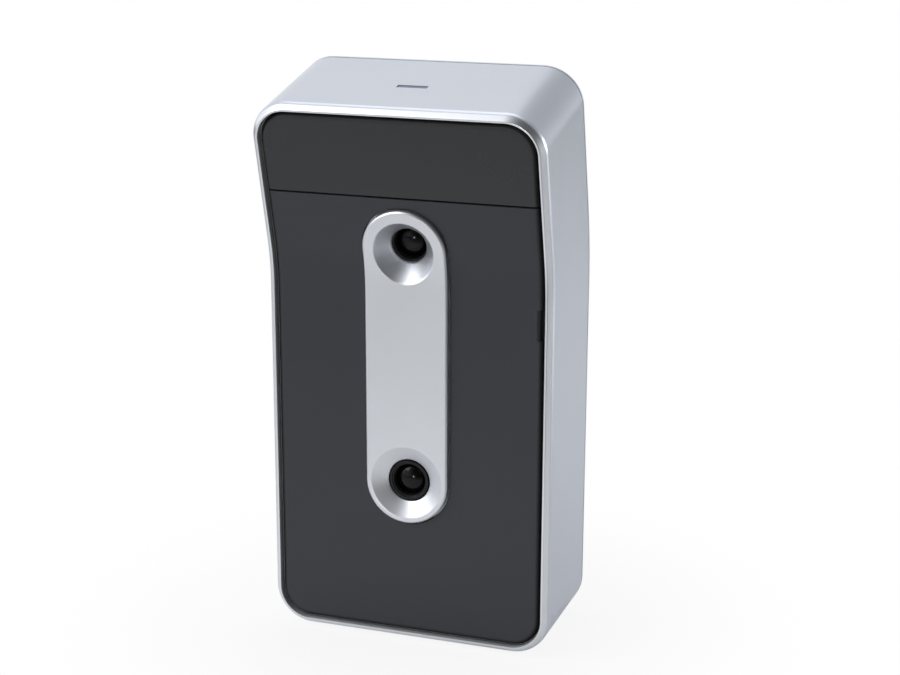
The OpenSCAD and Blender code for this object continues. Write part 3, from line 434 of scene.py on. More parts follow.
FINISHES = {
    "shell_silver": made_finish(
        "silver_paint", (0.560, 0.600, 0.675), (0.625, 0.666, 0.742), (0.30, 0.36), metal=0.50,
        grain=3200.0, bump=0.10, depth=0.00002, dust=0.08),
    # Painted highlight: a lighter, fully metallic copy of the silver for the shell's rim and the button's
    # rim, standing in for the light they catch
    "rim_bright": made_finish(
        "rim_painted_highlight", (0.765, 0.793, 0.840), (0.815, 0.842, 0.886), (0.27, 0.32), metal=1.0,
        grain=3600.0, bump=0.05, depth=0.00002),
    # Painted shade: the channel wall behind the rim, and the roll from the rim's land into it, belong to the
    # silver shell but take this darker grey for the shade in that recess
    "channel_shade_grey": made_finish(
        "channel_shade_grey", (0.400, 0.408, 0.425), (0.480, 0.488, 0.506), (0.46, 0.54), grain=2200.0,
        bump=0.10, depth=0.00003),
    "bezel_silver": made_finish(
        "bar_silver", (0.690, 0.712, 0.760), (0.750, 0.772, 0.818), (0.36, 0.42), metal=0.85,
        grain=3600.0, bump=0.08, depth=0.00002, dust=0.05),
    "panel_dark": made_finish(
        "panel_satin", (0.0318, 0.0362, 0.0446), (0.0388, 0.0442, 0.0546), (0.36, 0.44), grain=2400.0,
        bump=0.15, depth=0.00004, dust=0.04, edge_shade=PANEL_EDGE_SHADE, Specular_IOR_Level=0.40),
    "window_dark": made_finish(
        "window_smoke", (0.0258, 0.0273, 0.0300), (0.0298, 0.0315, 0.0344), (0.26, 0.30), grain=2600.0,
        bump=0.05, depth=0.00002, smudge=22.0, edge_shade=PANEL_EDGE_SHADE, Specular_IOR_Level=0.45),
    "gasket_foam": made_finish(
        "gasket_foam", (0.002, 0.002, 0.002), (0.006, 0.006, 0.006), (0.85, 0.95), grain=2600.0,
        contrast=3.0, bump=0.6, depth=0.0002),
    "lens_black": made_finish(
        "lens_anodised", (0.008, 0.0083, 0.009), (0.013, 0.0133, 0.0142), (0.30, 0.38), grain=4200.0,
        bump=0.12, depth=0.00002, Specular_IOR_Level=0.25),
    "holder_black": made_finish(
        "holder_plastic", (0.016, 0.016, 0.017), (0.026, 0.026, 0.028), (0.50, 0.62), grain=1500.0,
        bump=0.25, depth=0.00006),
    "board_green": made_finish(
        "board_lacquer", (0.010, 0.085, 0.030), (0.018, 0.125, 0.048), (0.28, 0.40), grain=650.0,
        contrast=4.0, bump=0.15, depth=0.00003),
    "board_white": made_finish(
        "board_white_lacquer", (0.70, 0.70, 0.68), (0.80, 0.80, 0.78), (0.35, 0.45), grain=800.0,
        bump=0.10, depth=0.00003),
    "chip_dark": made_finish(
        "chip_epoxy", (0.018, 0.018, 0.020), (0.030, 0.030, 0.032), (0.50, 0.60), grain=3000.0,
        bump=0.25, depth=0.00004),
    "brass_post": made_finish(
        "turned_brass", (0.62, 0.42, 0.16), (0.72, 0.52, 0.22), (0.25, 0.36), metal=1.0, grain=2400.0,
        bump=0.10, depth=0.00002),
    "screw_steel": made_finish(
        "screw_zinc", (0.40, 0.41, 0.43), (0.52, 0.53, 0.55), (0.30, 0.42), metal=1.0, grain=2800.0,
        bump=0.15, depth=0.00003),
    "chassis_metal": made_finish(
        "chassis_sheet", (0.55, 0.56, 0.57), (0.66, 0.67, 0.68), (0.36, 0.46), metal=1.0, grain=900.0,
        brushed=True, bump=0.10, depth=0.00003),
    "sink_metal": made_finish(
        "sink_anodised", (0.035, 0.036, 0.040), (0.060, 0.061, 0.066), (0.42, 0.52), metal=0.6,
        grain=1400.0, brushed=True, bump=0.12, depth=0.00003),
    "emitter_clear": made_finish(
        "emitter_resin", (0.70, 0.70, 0.74), (0.80, 0.80, 0.84), (0.06, 0.12), grain=900.0, bump=0.02,
        depth=0.00001, Transmission_Weight=0.6, IOR=1.5),
    "tray_plastic": made_finish(
        "tray_moulding", (0.030, 0.031, 0.033), (0.045, 0.046, 0.048), (0.48, 0.60), grain=1600.0,
        bump=0.30, depth=0.00006),
    "cell_wrap": made_finish(
        "cell_sleeve", (0.03, 0.10, 0.32), (0.05, 0.14, 0.40), (0.22, 0.34), grain=500.0, bump=0.08,
        depth=0.00004),
    "strap_steel": made_finish(
        "strap_spring_steel", (0.50, 0.51, 0.53), (0.60, 0.61, 0.62), (0.30, 0.40), metal=1.0,
        grain=1100.0, brushed=True, bump=0.08, depth=0.00003),
    "lead_red": made_finish(
        "lead_sleeve", (0.42, 0.030, 0.022), (0.52, 0.045, 0.034), (0.42, 0.55), grain=1400.0,
        bump=0.20, depth=0.00005),
    "socket_steel": made_finish(
        "socket_shell", (0.55, 0.56, 0.57), (0.65, 0.66, 0.67), (0.24, 0.34), metal=1.0, grain=1800.0,
        bump=0.06, depth=0.00002),
    "plunger_white": made_finish(
        "plunger_acetal", (0.68, 0.68, 0.66), (0.76, 0.76, 0.74), (0.40, 0.50), grain=1600.0,
        bump=0.10, depth=0.00003),
    "button_dark": made_finish(
        "button_satin", (0.085, 0.088, 0.094), (0.105, 0.108, 0.115), (0.25, 0.31), metal=0.8,
        grain=2400.0, bump=0.20, depth=0.00004),
    "light_pipe": made_finish(
        "light_pipe_acrylic", (0.150, 0.165, 0.270), (0.190, 0.205, 0.320), (0.18, 0.26), grain=900.0,
        bump=0.04, depth=0.00002),
    "ribbon_film": made_finish(
        "ribbon_polyimide", (0.42, 0.17, 0.02), (0.50, 0.22, 0.03), (0.26, 0.36), grain=700.0,
        bump=0.06, depth=0.00003),
    "pad_rubber": made_finish(
        "pad_rubber", (0.014, 0.014, 0.014), (0.026, 0.026, 0.026), (0.72, 0.86), grain=1200.0,
        contrast=2.4, bump=0.45, depth=0.00012),
    "plate_metal": made_finish(
        "plate_brushed", (0.52, 0.53, 0.54), (0.62, 0.63, 0.64), (0.32, 0.42), metal=0.9, grain=1300.0,
        brushed=True, bump=0.08, depth=0.00003),
    "lens_glass": made_finish(
        "lens_coated_glass", (0.002, 0.002, 0.0025), (0.003, 0.003, 0.0036), (0.13, 0.15), grain=600.0,
        bump=0.0, depth=0.00001, Specular_IOR_Level=0.22),
}


# Samples up the sides and across the ends of the outlines, and what shapes their edges
ROUND_END, SQUARE_END = 44.0, 56.0
SIDE_S = np.concatenate([np.linspace(4.0, BEND_Z, 24), np.linspace(BEND_Z, LEAN_START, 17)[1:],
                         np.linspace(LEAN_START, TOP_S, 9)[1:]])
PANEL_SIDE_S = np.linspace(20, 140, 41)
END_X = np.linspace(-ROUND_END, ROUND_END, 13)
SHELL_ARC_STEPS, PANEL_ARC_STEPS = 20, 16
SHELL_STEPS = 5
RIM_ROLL, RIM_EDGE, LEDGE_EDGE, LEDGE_NOSE, LEDGE_ROOT = 1.10, 0.30, 0.20, 0.30, 0.40
BACK_EDGE_IN, BACK_EDGE_OUT = 0.20, 0.25
SEAM_CORNER_R, SEAM_SHARE = 0.5, 0.12
PANEL_ROLL_W, PANEL_ROLL_D, PANEL_LIP = 2.2, 1.3, 0.30
# The last value moves the painted shade round the bar's hole out past its edge
NOTCH_STEP, NOTCH_SIDE, BAR_SHADE_OFF = 0.12, 0.49, 0.9
WINDOW_EDGE = np.array([(0.0, 1.3), (0.1, 1.0), (0.3, 0.75), (0.8, 0.25), (1.05, 0.1), (1.5, 0.02),
                        (2.2, 0.0)])
WINDOW_LINE = 40.0


def build_shell():
    """The bent sleeve: one closed profile of bevelled rim, ledge and wall carried round the outline.

    The slot for the status light is the quads between two rows and two columns of the top, left out
    in the outer and the inner wall and joined by a short tube. The rim's bevel and land take a lighter
    metal, painted highlight, and the channel between rim and ledge a darker grey, painted shade.
    """
    half_w, half_t = STATUS_W / 2 + STATUS_GAP, STATUS_T / 2 + STATUS_GAP
    across = np.concatenate([END_X[END_X < -half_w], [-half_w, half_w], END_X[END_X > half_w]])
    outline = rounded_outline(BODY_W, 0.0, TOP_S, CORNER_R, CORNER_R, SIDE_S, END_X, across, SHELL_ARC_STEPS)
    near, far = STATUS_D - half_t, STATUS_D + half_t
    ledge_in, ledge_back = RIM_W + LEDGE_W, LEDGE_D + LEDGE_T
    rounded = [(0.0, RIM_BEVEL, RIM_ROLL), (RIM_W - RIM_LAND, 0.0, RIM_EDGE), (RIM_W, 0.0, RIM_EDGE),
               (RIM_W, LEDGE_D, LEDGE_EDGE), (ledge_in, LEDGE_D, LEDGE_NOSE),
               (ledge_in, ledge_back, LEDGE_EDGE), (WALL, ledge_back, LEDGE_ROOT), (WALL, near, 0.0),
               (WALL, far, 0.0), (WALL, SHELL_D, BACK_EDGE_IN), (0.0, SHELL_D, BACK_EDGE_OUT),
               (0.0, far, 0.0), (0.0, near, 0.0)]
    corners = [(inset, depth) for inset, depth, _ in rounded]
    points = carried(softened(corners, [roll for _, _, roll in rounded], SHELL_STEPS), outline)
    rows, cols = points.shape[:2]
    corner_rows = SHELL_STEPS + 1

    def row_of(inset, depth):
        """The first row of points at a corner of the profile."""
        return corners.index((inset, depth)) * corner_rows

    x, s = ring_at(outline, 0.0)
    col = np.flatnonzero(np.isclose(s, TOP_S) & np.isclose(np.abs(x), half_w)).min()
    keep = np.ones((rows, cols), bool)
    keep[row_of(WALL, near):row_of(WALL, far), col] = False
    keep[row_of(0.0, far):row_of(0.0, near), col] = False
    mouth_x = np.array([half_w, -half_w, -half_w, half_w])
    mouth_d = np.array([near, near, far, far])
    tube = bent(mouth_x[None, :], mouth_d[None, :], TOP_S - np.array([[0.0], [WALL]]))
    sleeve, mouth = surface(points, True, True, keep), surface(tube, False, True)
    row = np.arange(rows)
    # The rim's rows take a lighter metal, painted highlight; the channel's rows a darker grey, painted shade
    on_rim = (row >= corner_rows - 1) & (row <= 2 * corner_rows)
    in_channel = (row > 2 * corner_rows) & (row < 6 * corner_rows)
    kind = np.where(on_rim, 1, np.where(in_channel, 2, 0))
    walls = np.broadcast_to(kind[:, None], (rows, cols))[keep]
    lined = np.concatenate([walls, np.zeros(len(mouth[1]), int)])
    return make_piece("shell_sleeve", [sleeve, mouth], "shell_silver", "main_shell", lined=lined)


def pillow_edge(width, drop, face, steps=8):
    """Points (inset, depth) of an elliptical roll from a side wall to a face: width in, drop deep."""
    t = np.linspace(0.0, math.pi / 2, steps + 1)
    return np.stack([width * (1 - np.cos(t)), face + drop * (1 - np.sin(t))], axis=-1)


def edge_in(x, s):
    """Distance in from the front opening's rounded outline, or from the bar's hole if that is nearer.

    The hole counts from an offset outside its edge, so the painted shade round the hole is narrower.
    """
    low, high = OPENING_IN, TOP_S - OPENING_IN
    out_x = np.abs(x) - (BODY_W / 2 - OPENING_IN - OPENING_R)
    out_s = np.abs(s - (low + high) / 2) - ((high - low) / 2 - OPENING_R)
    past = np.hypot(np.maximum(out_x, 0), np.maximum(out_s, 0))
    inside = OPENING_R - past - np.minimum(np.maximum(out_x, out_s), 0)
    hole = np.hypot(x, s - bar_side(s)) - BAR_W / 2 - BAR_GAP
    return np.minimum(inside, hole + BAR_SHADE_OFF)


def bar_side(s):
    """The nearest point of the line between the two cameras, for a run s up the rim."""
    return np.clip(s, LOWER_CAM_Z, UPPER_CAM_S)


def notch_bite(x, s, start, end):
    """How far the pry notch takes the right edge in: a ramp, a flat and a steeper ramp."""
    ramps = np.clip(np.minimum(s - start, 2 * (end - s)), 0.0, NOTCH_W)
    return np.where(x > NOTCH_SIDE * OPENING_W, ramps, 0.0)


def build_panel():
    """The dark panel: rings drawn from its outline in to the bar's hole, with the notch in its right edge.

    A row of the grid lies a share t of the way from the outline to the hole, at an inset from
    whichever edge is near and at its own depth.
    """
    n0, n1 = NOTCH_Z - NOTCH_H / 2, NOTCH_Z + NOTCH_H / 2
    stops = np.array([n0, n0 + NOTCH_W, n1 - NOTCH_W / 2, n1])
    sides = np.concatenate([SIDE_S, PANEL_SIDE_S, stops, stops + NOTCH_STEP, stops - NOTCH_STEP])
    outline = rounded_outline(
        OPENING_W, OPENING_IN, SEAM_S - SEAM_GAP / 2, OPENING_R, SEAM_CORNER_R, np.unique(sides),
        np.linspace(-ROUND_END, ROUND_END, 31), np.linspace(-SQUARE_END, SQUARE_END, 41), PANEL_ARC_STEPS,
        square_high=SEAM_SHARE)
    hole_r = BAR_W / 2 + BAR_GAP
    roll = pillow_edge(PANEL_ROLL_W, PANEL_ROLL_D, PANEL_FACE)
    lip = pillow_edge(PANEL_LIP, PANEL_LIP, PANEL_FACE, 4)[::-1]
    share = np.array([0.04, 0.10, 0.2, 0.32, 0.45, 0.58, 0.7, 0.82, 0.92, 0.97])
    rear = np.array([0.75, 0.5, 0.25])
    t = np.concatenate([np.zeros(1 + len(roll)), share, np.ones(len(lip) + 1), rear])[:, None]
    e = np.concatenate([[0.0], roll[:, 0], np.full(len(share), np.nan), lip[:, 0], [0.0], 0 * rear])[:, None]
    d = np.concatenate([[PANEL_BACK], roll[:, 1], np.full(len(share), PANEL_FACE), lip[:, 1],
                        np.full(1 + len(rear), PANEL_BACK)])[:, None]
    out_e = np.where(np.isnan(e), roll[-1, 0], np.where(t < 0.5, e, 0.0))
    in_e = np.where(np.isnan(e), lip[0, 0], np.where(t > 0.5, e, 0.0))
    x, s = ring_at(outline, out_e)
    x = x - notch_bite(*ring_at(outline, 0.0), n0, n1)
    spine = bar_side(s)
    span = np.hypot(x, s - spine)
    hole_x, hole_s = x / span * (hole_r + in_e), spine + (s - spine) / span * (hole_r + in_e)
    x, s = x + (hole_x - x) * t, s + (hole_s - s) * t
    return make_piece("dark_panel", [surface(bent(x, d, s), True, True)], "panel_dark", "front_panel",
                      marks=edge_in(x, s))


def build_window():
    """The dark window over the strobe: rings from its bevelled outline in to a line across its middle."""
    low, high = SEAM_S + SEAM_GAP / 2, TOP_S - OPENING_IN
    outline = rounded_outline(
        OPENING_W, low, high, SEAM_CORNER_R, OPENING_R, np.linspace(low, high, 12),
        np.linspace(-SQUARE_END, SQUARE_END, 31), np.linspace(-ROUND_END, ROUND_END, 31), PANEL_ARC_STEPS,
        square_low=SEAM_SHARE)
    roll = WINDOW_EDGE + (0.0, PANEL_FACE)
    share = np.array([0.05, 0.15, 0.3, 0.5, 0.75, 1.0])
    rear = np.array([1.0, 0.5, 0.0])
    t = np.concatenate([rear, np.zeros(len(roll)), share])[:, None]
    e = np.concatenate([0 * rear, roll[:, 0], np.full(len(share), roll[-1, 0])])[:, None]
    d = np.concatenate([np.full(len(rear), PANEL_BACK), roll[:, 1], np.full(len(share), PANEL_FACE)])[:, None]
    x, s = ring_at(outline, e)
    middle_x, middle_s = np.clip(x, -WINDOW_LINE, WINDOW_LINE), (low + high) / 2
    x, s = x + (middle_x - x) * t, s + (middle_s - s) * t
    return make_piece("strobe_cover", [surface(bent(x, d, s), False, True)], "window_dark", "strobe_window",
                      marks=edge_in(x, s))


# Camera bar: its edge profile is drawn EDGE_REACH long and cut to the bevel, and its back is level. The
# dish is given as radius and depth behind the bar's face.
EDGE_REACH, EDGE_ROLL, EDGE_STEPS = 9.0, 0.35, 4
FLANGE_FRONT = PANEL_BACK + FLANGE_GAP
BAR_BACK = FLANGE_FRONT + FLANGE_T
BAR_FACE_R = BEND_R - BAR_PROUD
DISH_FLOOR_R = LENS_R + BAR_GAP
DISH_PROFILE = np.array([
    (DISH_R + 0.04, 0.06), (DISH_R - 0.35, 0.24), (DISH_R - 1.2, 0.75), (12.4, 1.7), (10.6, 2.75),
    (DISH_FLOOR_R + 0.5, 3.42), (DISH_FLOOR_R + 0.12, 3.66), (DISH_FLOOR_R, 3.9),
    (DISH_FLOOR_R, BAR_BACK + BAR_PROUD)])
CONE_SEARCH = 30
MOUTH_TUCK_R, MOUTH_TUCK_D = 0.02, 0.08
CREST_IN_R, CREST_OUT_R, CREST_DROP = 4.9, 5.4, 0.01


def bar_half(sign):
    """Boundary of one half of the camera bar, as offsets (x, run) from its camera.

    It also tells which of them lie on the cut across the bar's middle. sign is 1 for the half round
    the upper camera and -1 for the half round the lower one.
    """
    reach = (UPPER_CAM_S - LOWER_CAM_Z) / 2
    half = BAR_W / 2
    a = np.linspace(0.0, math.pi, 65)
    up = np.linspace(0.0, reach, 27)[1:-1]
    cut = np.linspace(-half, half, 25)
    x = np.concatenate([half * np.cos(a), np.full(len(up), -half), cut, np.full(len(up), half)])
    s = np.concatenate([half * np.sin(a), -up, np.full(len(cut), -reach), -up[::-1]])
    on_cut = np.isclose(s, -reach)
    return x, s * sign, on_cut


def bar_rim():
    """Profile (inset, depth) of the bar's outer edge: from the face over the bevel to the flange's back."""
    edge = softened([(0.0, EDGE_REACH), (0.0, BAR_BEVEL - BAR_PROUD), (BAR_BEVEL, -BAR_PROUD),
                     (EDGE_REACH, -BAR_PROUD)], [0.0, EDGE_ROLL, EDGE_ROLL, 0.0], EDGE_STEPS)
    corner_rows = EDGE_STEPS + 1
    bevel = edge[corner_rows:3 * corner_rows][::-1]
    return np.concatenate([bevel, [(0.0, FLANGE_FRONT), (-FLANGE_W, FLANGE_FRONT), (-FLANGE_W, BAR_BACK)]])


def cone_inside(across, along):
    """The steep cone round the upper camera: its lip on the face, its points and its radius at the back.

    across and along are the way out from the axis at each column. The face turns round the bend below
    the camera, so the radius where the cone meets it is found by repeated steps.
    """
    slope = (CONE_R - CONE_HOLE_R) / CONE_DEPTH
    mouth = np.full(len(across), CONE_R)
    for _ in range(CONE_SEARCH):
        h = np.minimum(UPPER_CAM_H + mouth * along, 0.0)
        mouth = CONE_R + slope * (-BAR_PROUD - (np.sqrt(BAR_FACE_R ** 2 - h ** 2) - BEND_R))
    lip = mouth + LIP_ROLL
    h = UPPER_CAM_H + lip * along
    below = LEAN_START - BEND_R * np.arcsin(-np.minimum(h, 0.0) / BAR_FACE_R)
    lip_s = np.where(h > 0, LEAN_START + h, below)
    mouth_h = UPPER_CAM_H + mouth * along
    mouth_d = np.sqrt(BAR_FACE_R ** 2 - np.minimum(mouth_h, 0.0) ** 2) - BEND_R
    deep = np.array([0.06, 0.12, 0.3, 0.5, 0.7, 0.9, 1.0])[:, None]
    cone_end = CONE_DEPTH - BAR_PROUD
    cone_r = mouth + (CONE_HOLE_R - mouth) * deep
    cone_d = mouth_d + (cone_end - mouth_d) * deep
    back_r = CONE_HOLE_R + CONE_WALL
    wall_r = np.array([CONE_HOLE_R, back_r, back_r])[:, None] + 0 * across
    wall_d = np.array([cone_end + CONE_LIP, cone_end + CONE_LIP, BAR_BACK])[:, None] + 0 * across
    turn_r = np.concatenate([[mouth + MOUTH_TUCK_R], cone_r, wall_r])
    turn_d = np.concatenate([[mouth_d + MOUTH_TUCK_D], cone_d, wall_d])
    return lip, lip_s, leaning(turn_r * across, turn_d, UPPER_CAM_H + turn_r * along), back_r


def dish_inside(across, along):
    """The shallow dish round the lower camera: its lip on the face, its points and its radius at the back."""
    lip = np.full(len(across), DISH_R + LIP_ROLL)
    turn_r = DISH_PROFILE[:, :1] + 0 * across
    inner = upright(turn_r * across, DISH_PROFILE[:, 1:] - BAR_PROUD, LOWER_CAM_Z + turn_r * along)
    return lip, LOWER_CAM_Z + lip * along, inner, DISH_FLOOR_R


def bar_grid(upper):
    """Half of the camera bar as a grid round its own camera, closed on itself.

    Its rows run from the lip over face, bevel, side, flange and back to the hole, and up the cone or
    dish again. On the cut across the bar's middle only face and back remain.
    """
    half = BAR_W / 2
    rim = bar_rim()
    x, s, on_cut = bar_half(1.0 if upper else -1.0)
    centre = UPPER_CAM_S if upper else LOWER_CAM_Z
    angle = np.arctan2(s, x)
    across, along = np.cos(angle), np.sin(angle)
    in_arc = s >= 0 if upper else s <= 0
    out_x = np.where(in_arc | on_cut, x / half, np.sign(x))
    out_s = np.where(on_cut | ~in_arc, 0.0, s / half)
    inset = rim[:, :1]
    rim_x, rim_s = x - inset * out_x, centre + s - inset * out_s
    rim_points = bent(rim_x, rim[:, 1:], rim_s)
    lip, lip_s, inner, back_r = (cone_inside if upper else dish_inside)(across, along)
    lip_x = lip * across
    share = np.array([0.06, 0.2, 0.4, 0.6, 0.8, 0.94])[:, None]
    face_x, face_s = lip_x + (rim_x[0] - lip_x) * share, lip_s + (rim_s[0] - lip_s) * share
    face = bent(face_x, -BAR_PROUD, face_s)
    lip_row = bent(lip_x, -BAR_PROUD, lip_s)[None]
    hole_x, hole_s = back_r * across, centre + back_r * along
    far = np.array([0.25, 0.5, 0.75])[:, None]
    rear_x, rear_s = rim_x[-1] + (hole_x - rim_x[-1]) * far, rim_s[-1] + (hole_s - rim_s[-1]) * far
    rear = bent(rear_x, BAR_BACK, rear_s)
    points = np.concatenate([lip_row, face, rim_points, rear, inner[::-1]])
    first = 1 + len(face)
    keep = np.ones(points.shape[:2], bool)
    keep[first:first + len(rim_points) - 1, on_cut & np.roll(on_cut, -1)] = False
    return surface(points, True, True, keep)


def build_bar():
    """The raised silver bar with its shallow dish below and its steep cone above, in two halves."""
    return make_piece("camera_bar", [bar_grid(False), bar_grid(True)], "bezel_silver", "camera_bezel")


def build_lens(which, place):
    """A lens: a turned black barrel with a stepped front, and a domed glass set inside it.

    Each corner of the barrel's profile is a radius, a depth behind its front and the roll of its edge.
    """
    rounded = [(LENS_R, LENS_HEAD_D, 0.1), (LENS_R, 0.0, 0.35), (MOUTH_R, 0.0, 0.12),
               (MOUTH_STEP_R, MOUTH_STEP_D, 0.10), (MOUTH_SHELF_R, MOUTH_STEP_D, 0.15),
               (GLASS_SEAT_R, MOUTH_END_D, 0.10), (GLASS_SEAT_R, GLASS_SEAT_D, 0.1),
               (TAIL_BORE_R, GLASS_SEAT_D, 0.1), (TAIL_BORE_R, TAIL_D, 0.1), (TAIL_R, TAIL_D, 0.1),
               (TAIL_R, LENS_HEAD_D, 0.1)]
    barrel = softened([(r, d) for r, d, _ in rounded], [roll for _, _, roll in rounded])
    make_piece(which + "_barrel", [surface(revolved(barrel, place), True, True)], "lens_black",
               which + "_lens_barrel")
    dome = np.linspace(0.0, GLASS_EDGE_R, 25)
    front_d = GLASS_FRONT_D + GLASS_DOME_R - np.sqrt(GLASS_DOME_R ** 2 - dome ** 2)
    back = [(r, GLASS_SEAT_D) for r in (GLASS_EDGE_R, GLASS_EDGE_R / 2, 0.0)]
    glass = np.concatenate([np.stack([dome, front_d], axis=-1), back])
    make_piece(which + "_glass", [surface(revolved(glass, place), False, True)], "lens_glass",
               which + "_lens_glass")


def build_button():
    """The power button: a turned cap with a shallow spherical dish and a bright rim, whose lighter metal
    paints its highlight, a flange and a stem.
    """
    face = BODY_D + BUTTON_PROUD
    seat = SHELL_D - BUTTON_SEAT_GAP
    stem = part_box("power_button")[0].y / MM + BODY_D / 2
    r = np.linspace(0.0, BUTTON_DISH_R, 15)
    dish_d = face - BUTTON_DISH_D + BUTTON_BALL_R - np.sqrt(BUTTON_BALL_R ** 2 - r ** 2)
    dish = np.stack([r, dish_d], axis=-1)
    crest = np.array([(CREST_IN_R, face - CREST_DROP), (CREST_OUT_R, face)])
    roll = pillow_edge(BUTTON_ROLL_W, BUTTON_ROLL_D, 0.0)[::-1]
    cap = np.stack([BUTTON_R - roll[:, 0], face - roll[:, 1]], axis=-1)
    flange_end = seat - BUTTON_FLANGE_T
    back = np.array([(BUTTON_R, seat), (BUTTON_FLANGE_R, seat), (BUTTON_FLANGE_R, flange_end),
                     (BUTTON_STEM_R, flange_end), (BUTTON_STEM_R, stem), (0.0, stem)])
    profile = np.concatenate([dish, crest, cap, back])
    points = revolved(profile, lambda x, d, h: upright(x, d, h + BUTTON_Z))
    row = np.arange(len(profile) - 1)
    # The rim's rows take the lighter metal that paints its highlight
    on_rim = (row >= len(dish)) & (row < len(dish) + len(crest) + len(cap))
    lined = np.repeat(on_rim.astype(int), points.shape[1])
    return make_piece("button_cap", [surface(points, False, True)], "button_dark", "power_button",
                      body="button", lined=lined)


build_button()
build_shell()
build_panel()
build_window()
build_bar()
build_lens("lower", lambda x, d, h: upright(x, d + LOWER_LENS_D, h + LOWER_CAM_Z))
build_lens("upper", lambda x, d, h: leaning(x, d + UPPER_LENS_D, h + UPPER_CAM_H))


def dress_solids():
    """Every solid that stays takes the finish of its slot in place of its plain colour."""
    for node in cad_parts.values():
        for place in node.material_slots:
            label = place.material.name.split(".")[0]
            place.material = FINISHES.get(label, FINISHES["holder_black"])


# Camera, fitted to the photograph
CAMERA_TURN, CAMERA_RISE, CAMERA_ROLL = math.radians(19.25), math.radians(15.12), 0.003
CAMERA_LENS, CAMERA_SENSOR, CAMERA_NEAR = 73.55, 36.0, 0.01
CAMERA_PLACE = (0.2526, -0.6983, 0.3263)


def set_camera():
    """The camera at the photograph's angle: to the right of the front, and looking down a little."""
    turn, rise = CAMERA_TURN, CAMERA_RISE
    side = np.array([math.cos(turn), math.sin(turn), 0.0])
    back = np.array([math.sin(turn) * math.cos(rise), -math.cos(turn) * math.cos(rise), math.sin(rise)])
    top = np.cross(back, side)
    right = side * math.cos(CAMERA_ROLL) + top * math.sin(CAMERA_ROLL)
    lens = bpy.data.cameras.new("photo_camera")
    lens.lens, lens.sensor_width, lens.sensor_fit = CAMERA_LENS, CAMERA_SENSOR, "HORIZONTAL"
    lens.clip_start = CAMERA_NEAR
    camera = bpy.data.objects.new("photo_camera", lens)
    place = np.eye(4)
    place[:3] = np.stack([right, np.cross(back, right), back, CAMERA_PLACE], axis=-1)
    camera.matrix_world = Matrix(place.tolist())
    bpy.context.scene.collection.objects.link(camera)
    bpy.context.scene.camera = camera


# Lamps: name, place, the point that the lamp looks at, width and watts
SOFTBOXES = [
    ("key_softbox", (-0.80, -0.70, 0.95), (0.0, 0.0, 0.13), 0.8, 6.5),
    ("top_softbox", (-0.15, 0.25, 1.20), (0.0, 0.0, 0.10), 0.8, 3.0),
    ("side_softbox", (1.20, 0.42, 0.27), (0.0, 0.0, 0.12), 0.5, 8.2),
    ("front_softbox", (0.05, -1.10, 0.10), (0.0, 0.0, 0.12), 0.09, 1.0),
    ("left_softbox", (-1.05, -0.45, 0.45), (0.0, 0.0, 0.16), 0.5, 0.9),
]


def set_lamps():
    """Square soft lamps, each turned to the point that it looks at."""
    for name, place, target, size, watts in SOFTBOXES:
        lamp = bpy.data.lights.new(name, "AREA")
        lamp.size, lamp.energy = size, watts
        box = bpy.data.objects.new(name, lamp)
        box.location = place
        x, y, z = np.array(place) - np.array(target)
        box.rotation_euler = (math.atan2(math.hypot(x, y), z), 0.0, math.atan2(x, -y))
        bpy.context.scene.collection.objects.link(box)


WHITE = (1.0, 1.0, 1.0, 1.0)

# Where the surround dims: a way, how nearly a ray has to follow it, and the levels at those limits
DIM_WAYS = [((0.62, -0.66, 0.42), (0.25, 0.88), (1.0, 0.08)),
            ((0.470, 0.718, 0.513), (0.66, 1.0), (1.0, 0.45))]
FILL_LEVEL = 0.42


def set_surround():
    """White to the camera, to metal and to glass, with less fill light; mirrors see it dim two ways."""
    world = bpy.data.worlds.new("white_studio")
    bpy.context.scene.world = world
    world.use_nodes = True
    tree = world.node_tree
    path = tree.nodes.new("ShaderNodeLightPath")
    seen = reckoned(tree, "MAXIMUM", path.outputs["Is Camera Ray"], path.outputs["Is Glossy Ray"])
    seen = reckoned(tree, "MAXIMUM", seen, path.outputs["Is Transmission Ray"])
    ray = tree.nodes.new("ShaderNodeTexCoord").outputs["Generated"]
    level = ranged(tree, seen, (0.0, 1.0), (FILL_LEVEL, 1.0))
    for way, limits, levels in DIM_WAYS:
        facing = joined(tree, "ShaderNodeVectorMath", {0: ray, 1: way}, operation="DOT_PRODUCT")
        lit = ranged(tree, facing.outputs["Value"], limits, levels, interpolation_type="SMOOTHSTEP")
        level = reckoned(tree, "MULTIPLY", level, lit)
    level = reckoned(tree, "MAXIMUM", level, path.outputs["Is Camera Ray"])
    surround = tree.nodes["Background"]
    surround.inputs["Color"].default_value = WHITE
    tree.links.new(level, surround.inputs["Strength"])


# Floor, in metres: its colour darkens to the front right, painted shade seen mostly in reflections, turns
# white to the camera away from the object, and glows in mirrors just in front of it, a painted glow over
# the object's shadow there
FLOOR_REACH = np.linspace(-4.0, 4.0, 9)
FLOOR_WAY, FLOOR_LIMITS, FLOOR_TONES = (0.66, -0.75, 0.0), (0.16, 0.42), (0.86, 0.40)
WHITE_LIMITS, WHITE_SHARES = (0.05, 0.18), (0.88, 1.0)
GLOW_PLACE, GLOW_LIMITS, GLOW_SHARES = (-0.05, -0.18, 0.0), (0.06, 0.24), (0.7, 0.0)


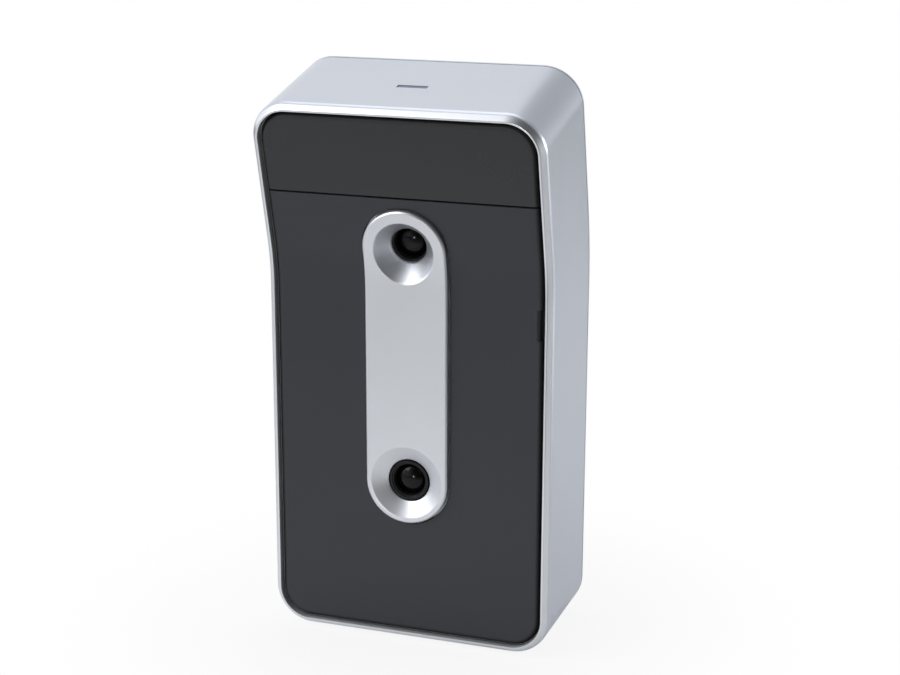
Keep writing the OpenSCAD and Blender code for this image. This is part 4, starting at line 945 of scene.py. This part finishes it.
def floor_cover():
    """The floor's material: matt and darker to the front right as painted shade, with a share of plain white
    that leaves a faint shadow by the object, and a painted glow that mirrors see in front of it.
    """
    cover = bpy.data.materials.new("white_floor")
    cover.use_nodes = True
    tree = cover.node_tree
    tree.nodes.remove(tree.nodes["Principled BSDF"])
    spot = own_place(tree)
    aside = joined(tree, "ShaderNodeVectorMath", {0: spot, 1: FLOOR_WAY}, operation="DOT_PRODUCT")
    tone = ranged(tree, aside.outputs["Value"], FLOOR_LIMITS, FLOOR_TONES, interpolation_type="SMOOTHSTEP")
    matt = joined(tree, "ShaderNodeBsdfDiffuse", {"Color": tone})
    white = joined(tree, "ShaderNodeEmission", {"Color": WHITE, "Strength": 1.0})
    path = tree.nodes.new("ShaderNodeLightPath")
    away = joined(tree, "ShaderNodeVectorMath", {0: spot}, operation="LENGTH")
    fade = ranged(tree, away.outputs["Value"], WHITE_LIMITS, WHITE_SHARES, interpolation_type="SMOOTHSTEP")
    share = reckoned(tree, "MULTIPLY", path.outputs["Is Camera Ray"], fade)
    front = joined(tree, "ShaderNodeVectorMath", {0: spot, 1: GLOW_PLACE}, operation="DISTANCE")
    near = ranged(tree, front.outputs["Value"], GLOW_LIMITS, GLOW_SHARES, interpolation_type="SMOOTHSTEP")
    mirrored = reckoned(tree, "MULTIPLY", near, path.outputs["Is Glossy Ray"])
    share = reckoned(tree, "MAXIMUM", share, mirrored)
    both = joined(tree, "ShaderNodeMixShader", {0: share, 1: matt.outputs[0], 2: white.outputs[0]})
    tree.links.new(both.outputs[0], tree.nodes["Material Output"].inputs["Surface"])
    return cover


def set_floor():
    """A wide flat sheet under the object."""
    count = len(FLOOR_REACH)
    spots = np.stack(np.broadcast_arrays(FLOOR_REACH[None, :], FLOOR_REACH[:, None], 0.0), axis=-1)
    sheet = bpy.data.meshes.new("studio_floor")
    sheet.from_pydata(spots.reshape(-1, 3).tolist(), [], grid_faces(count, count).tolist())
    sheet.materials.append(floor_cover())
    floor = bpy.data.objects.new("studio_floor", sheet)
    bpy.context.scene.collection.objects.link(floor)


dress_solids()
set_camera()
set_surround()
set_lamps()
set_floor()
bpy.context.scene.view_settings.view_transform = "Standard"
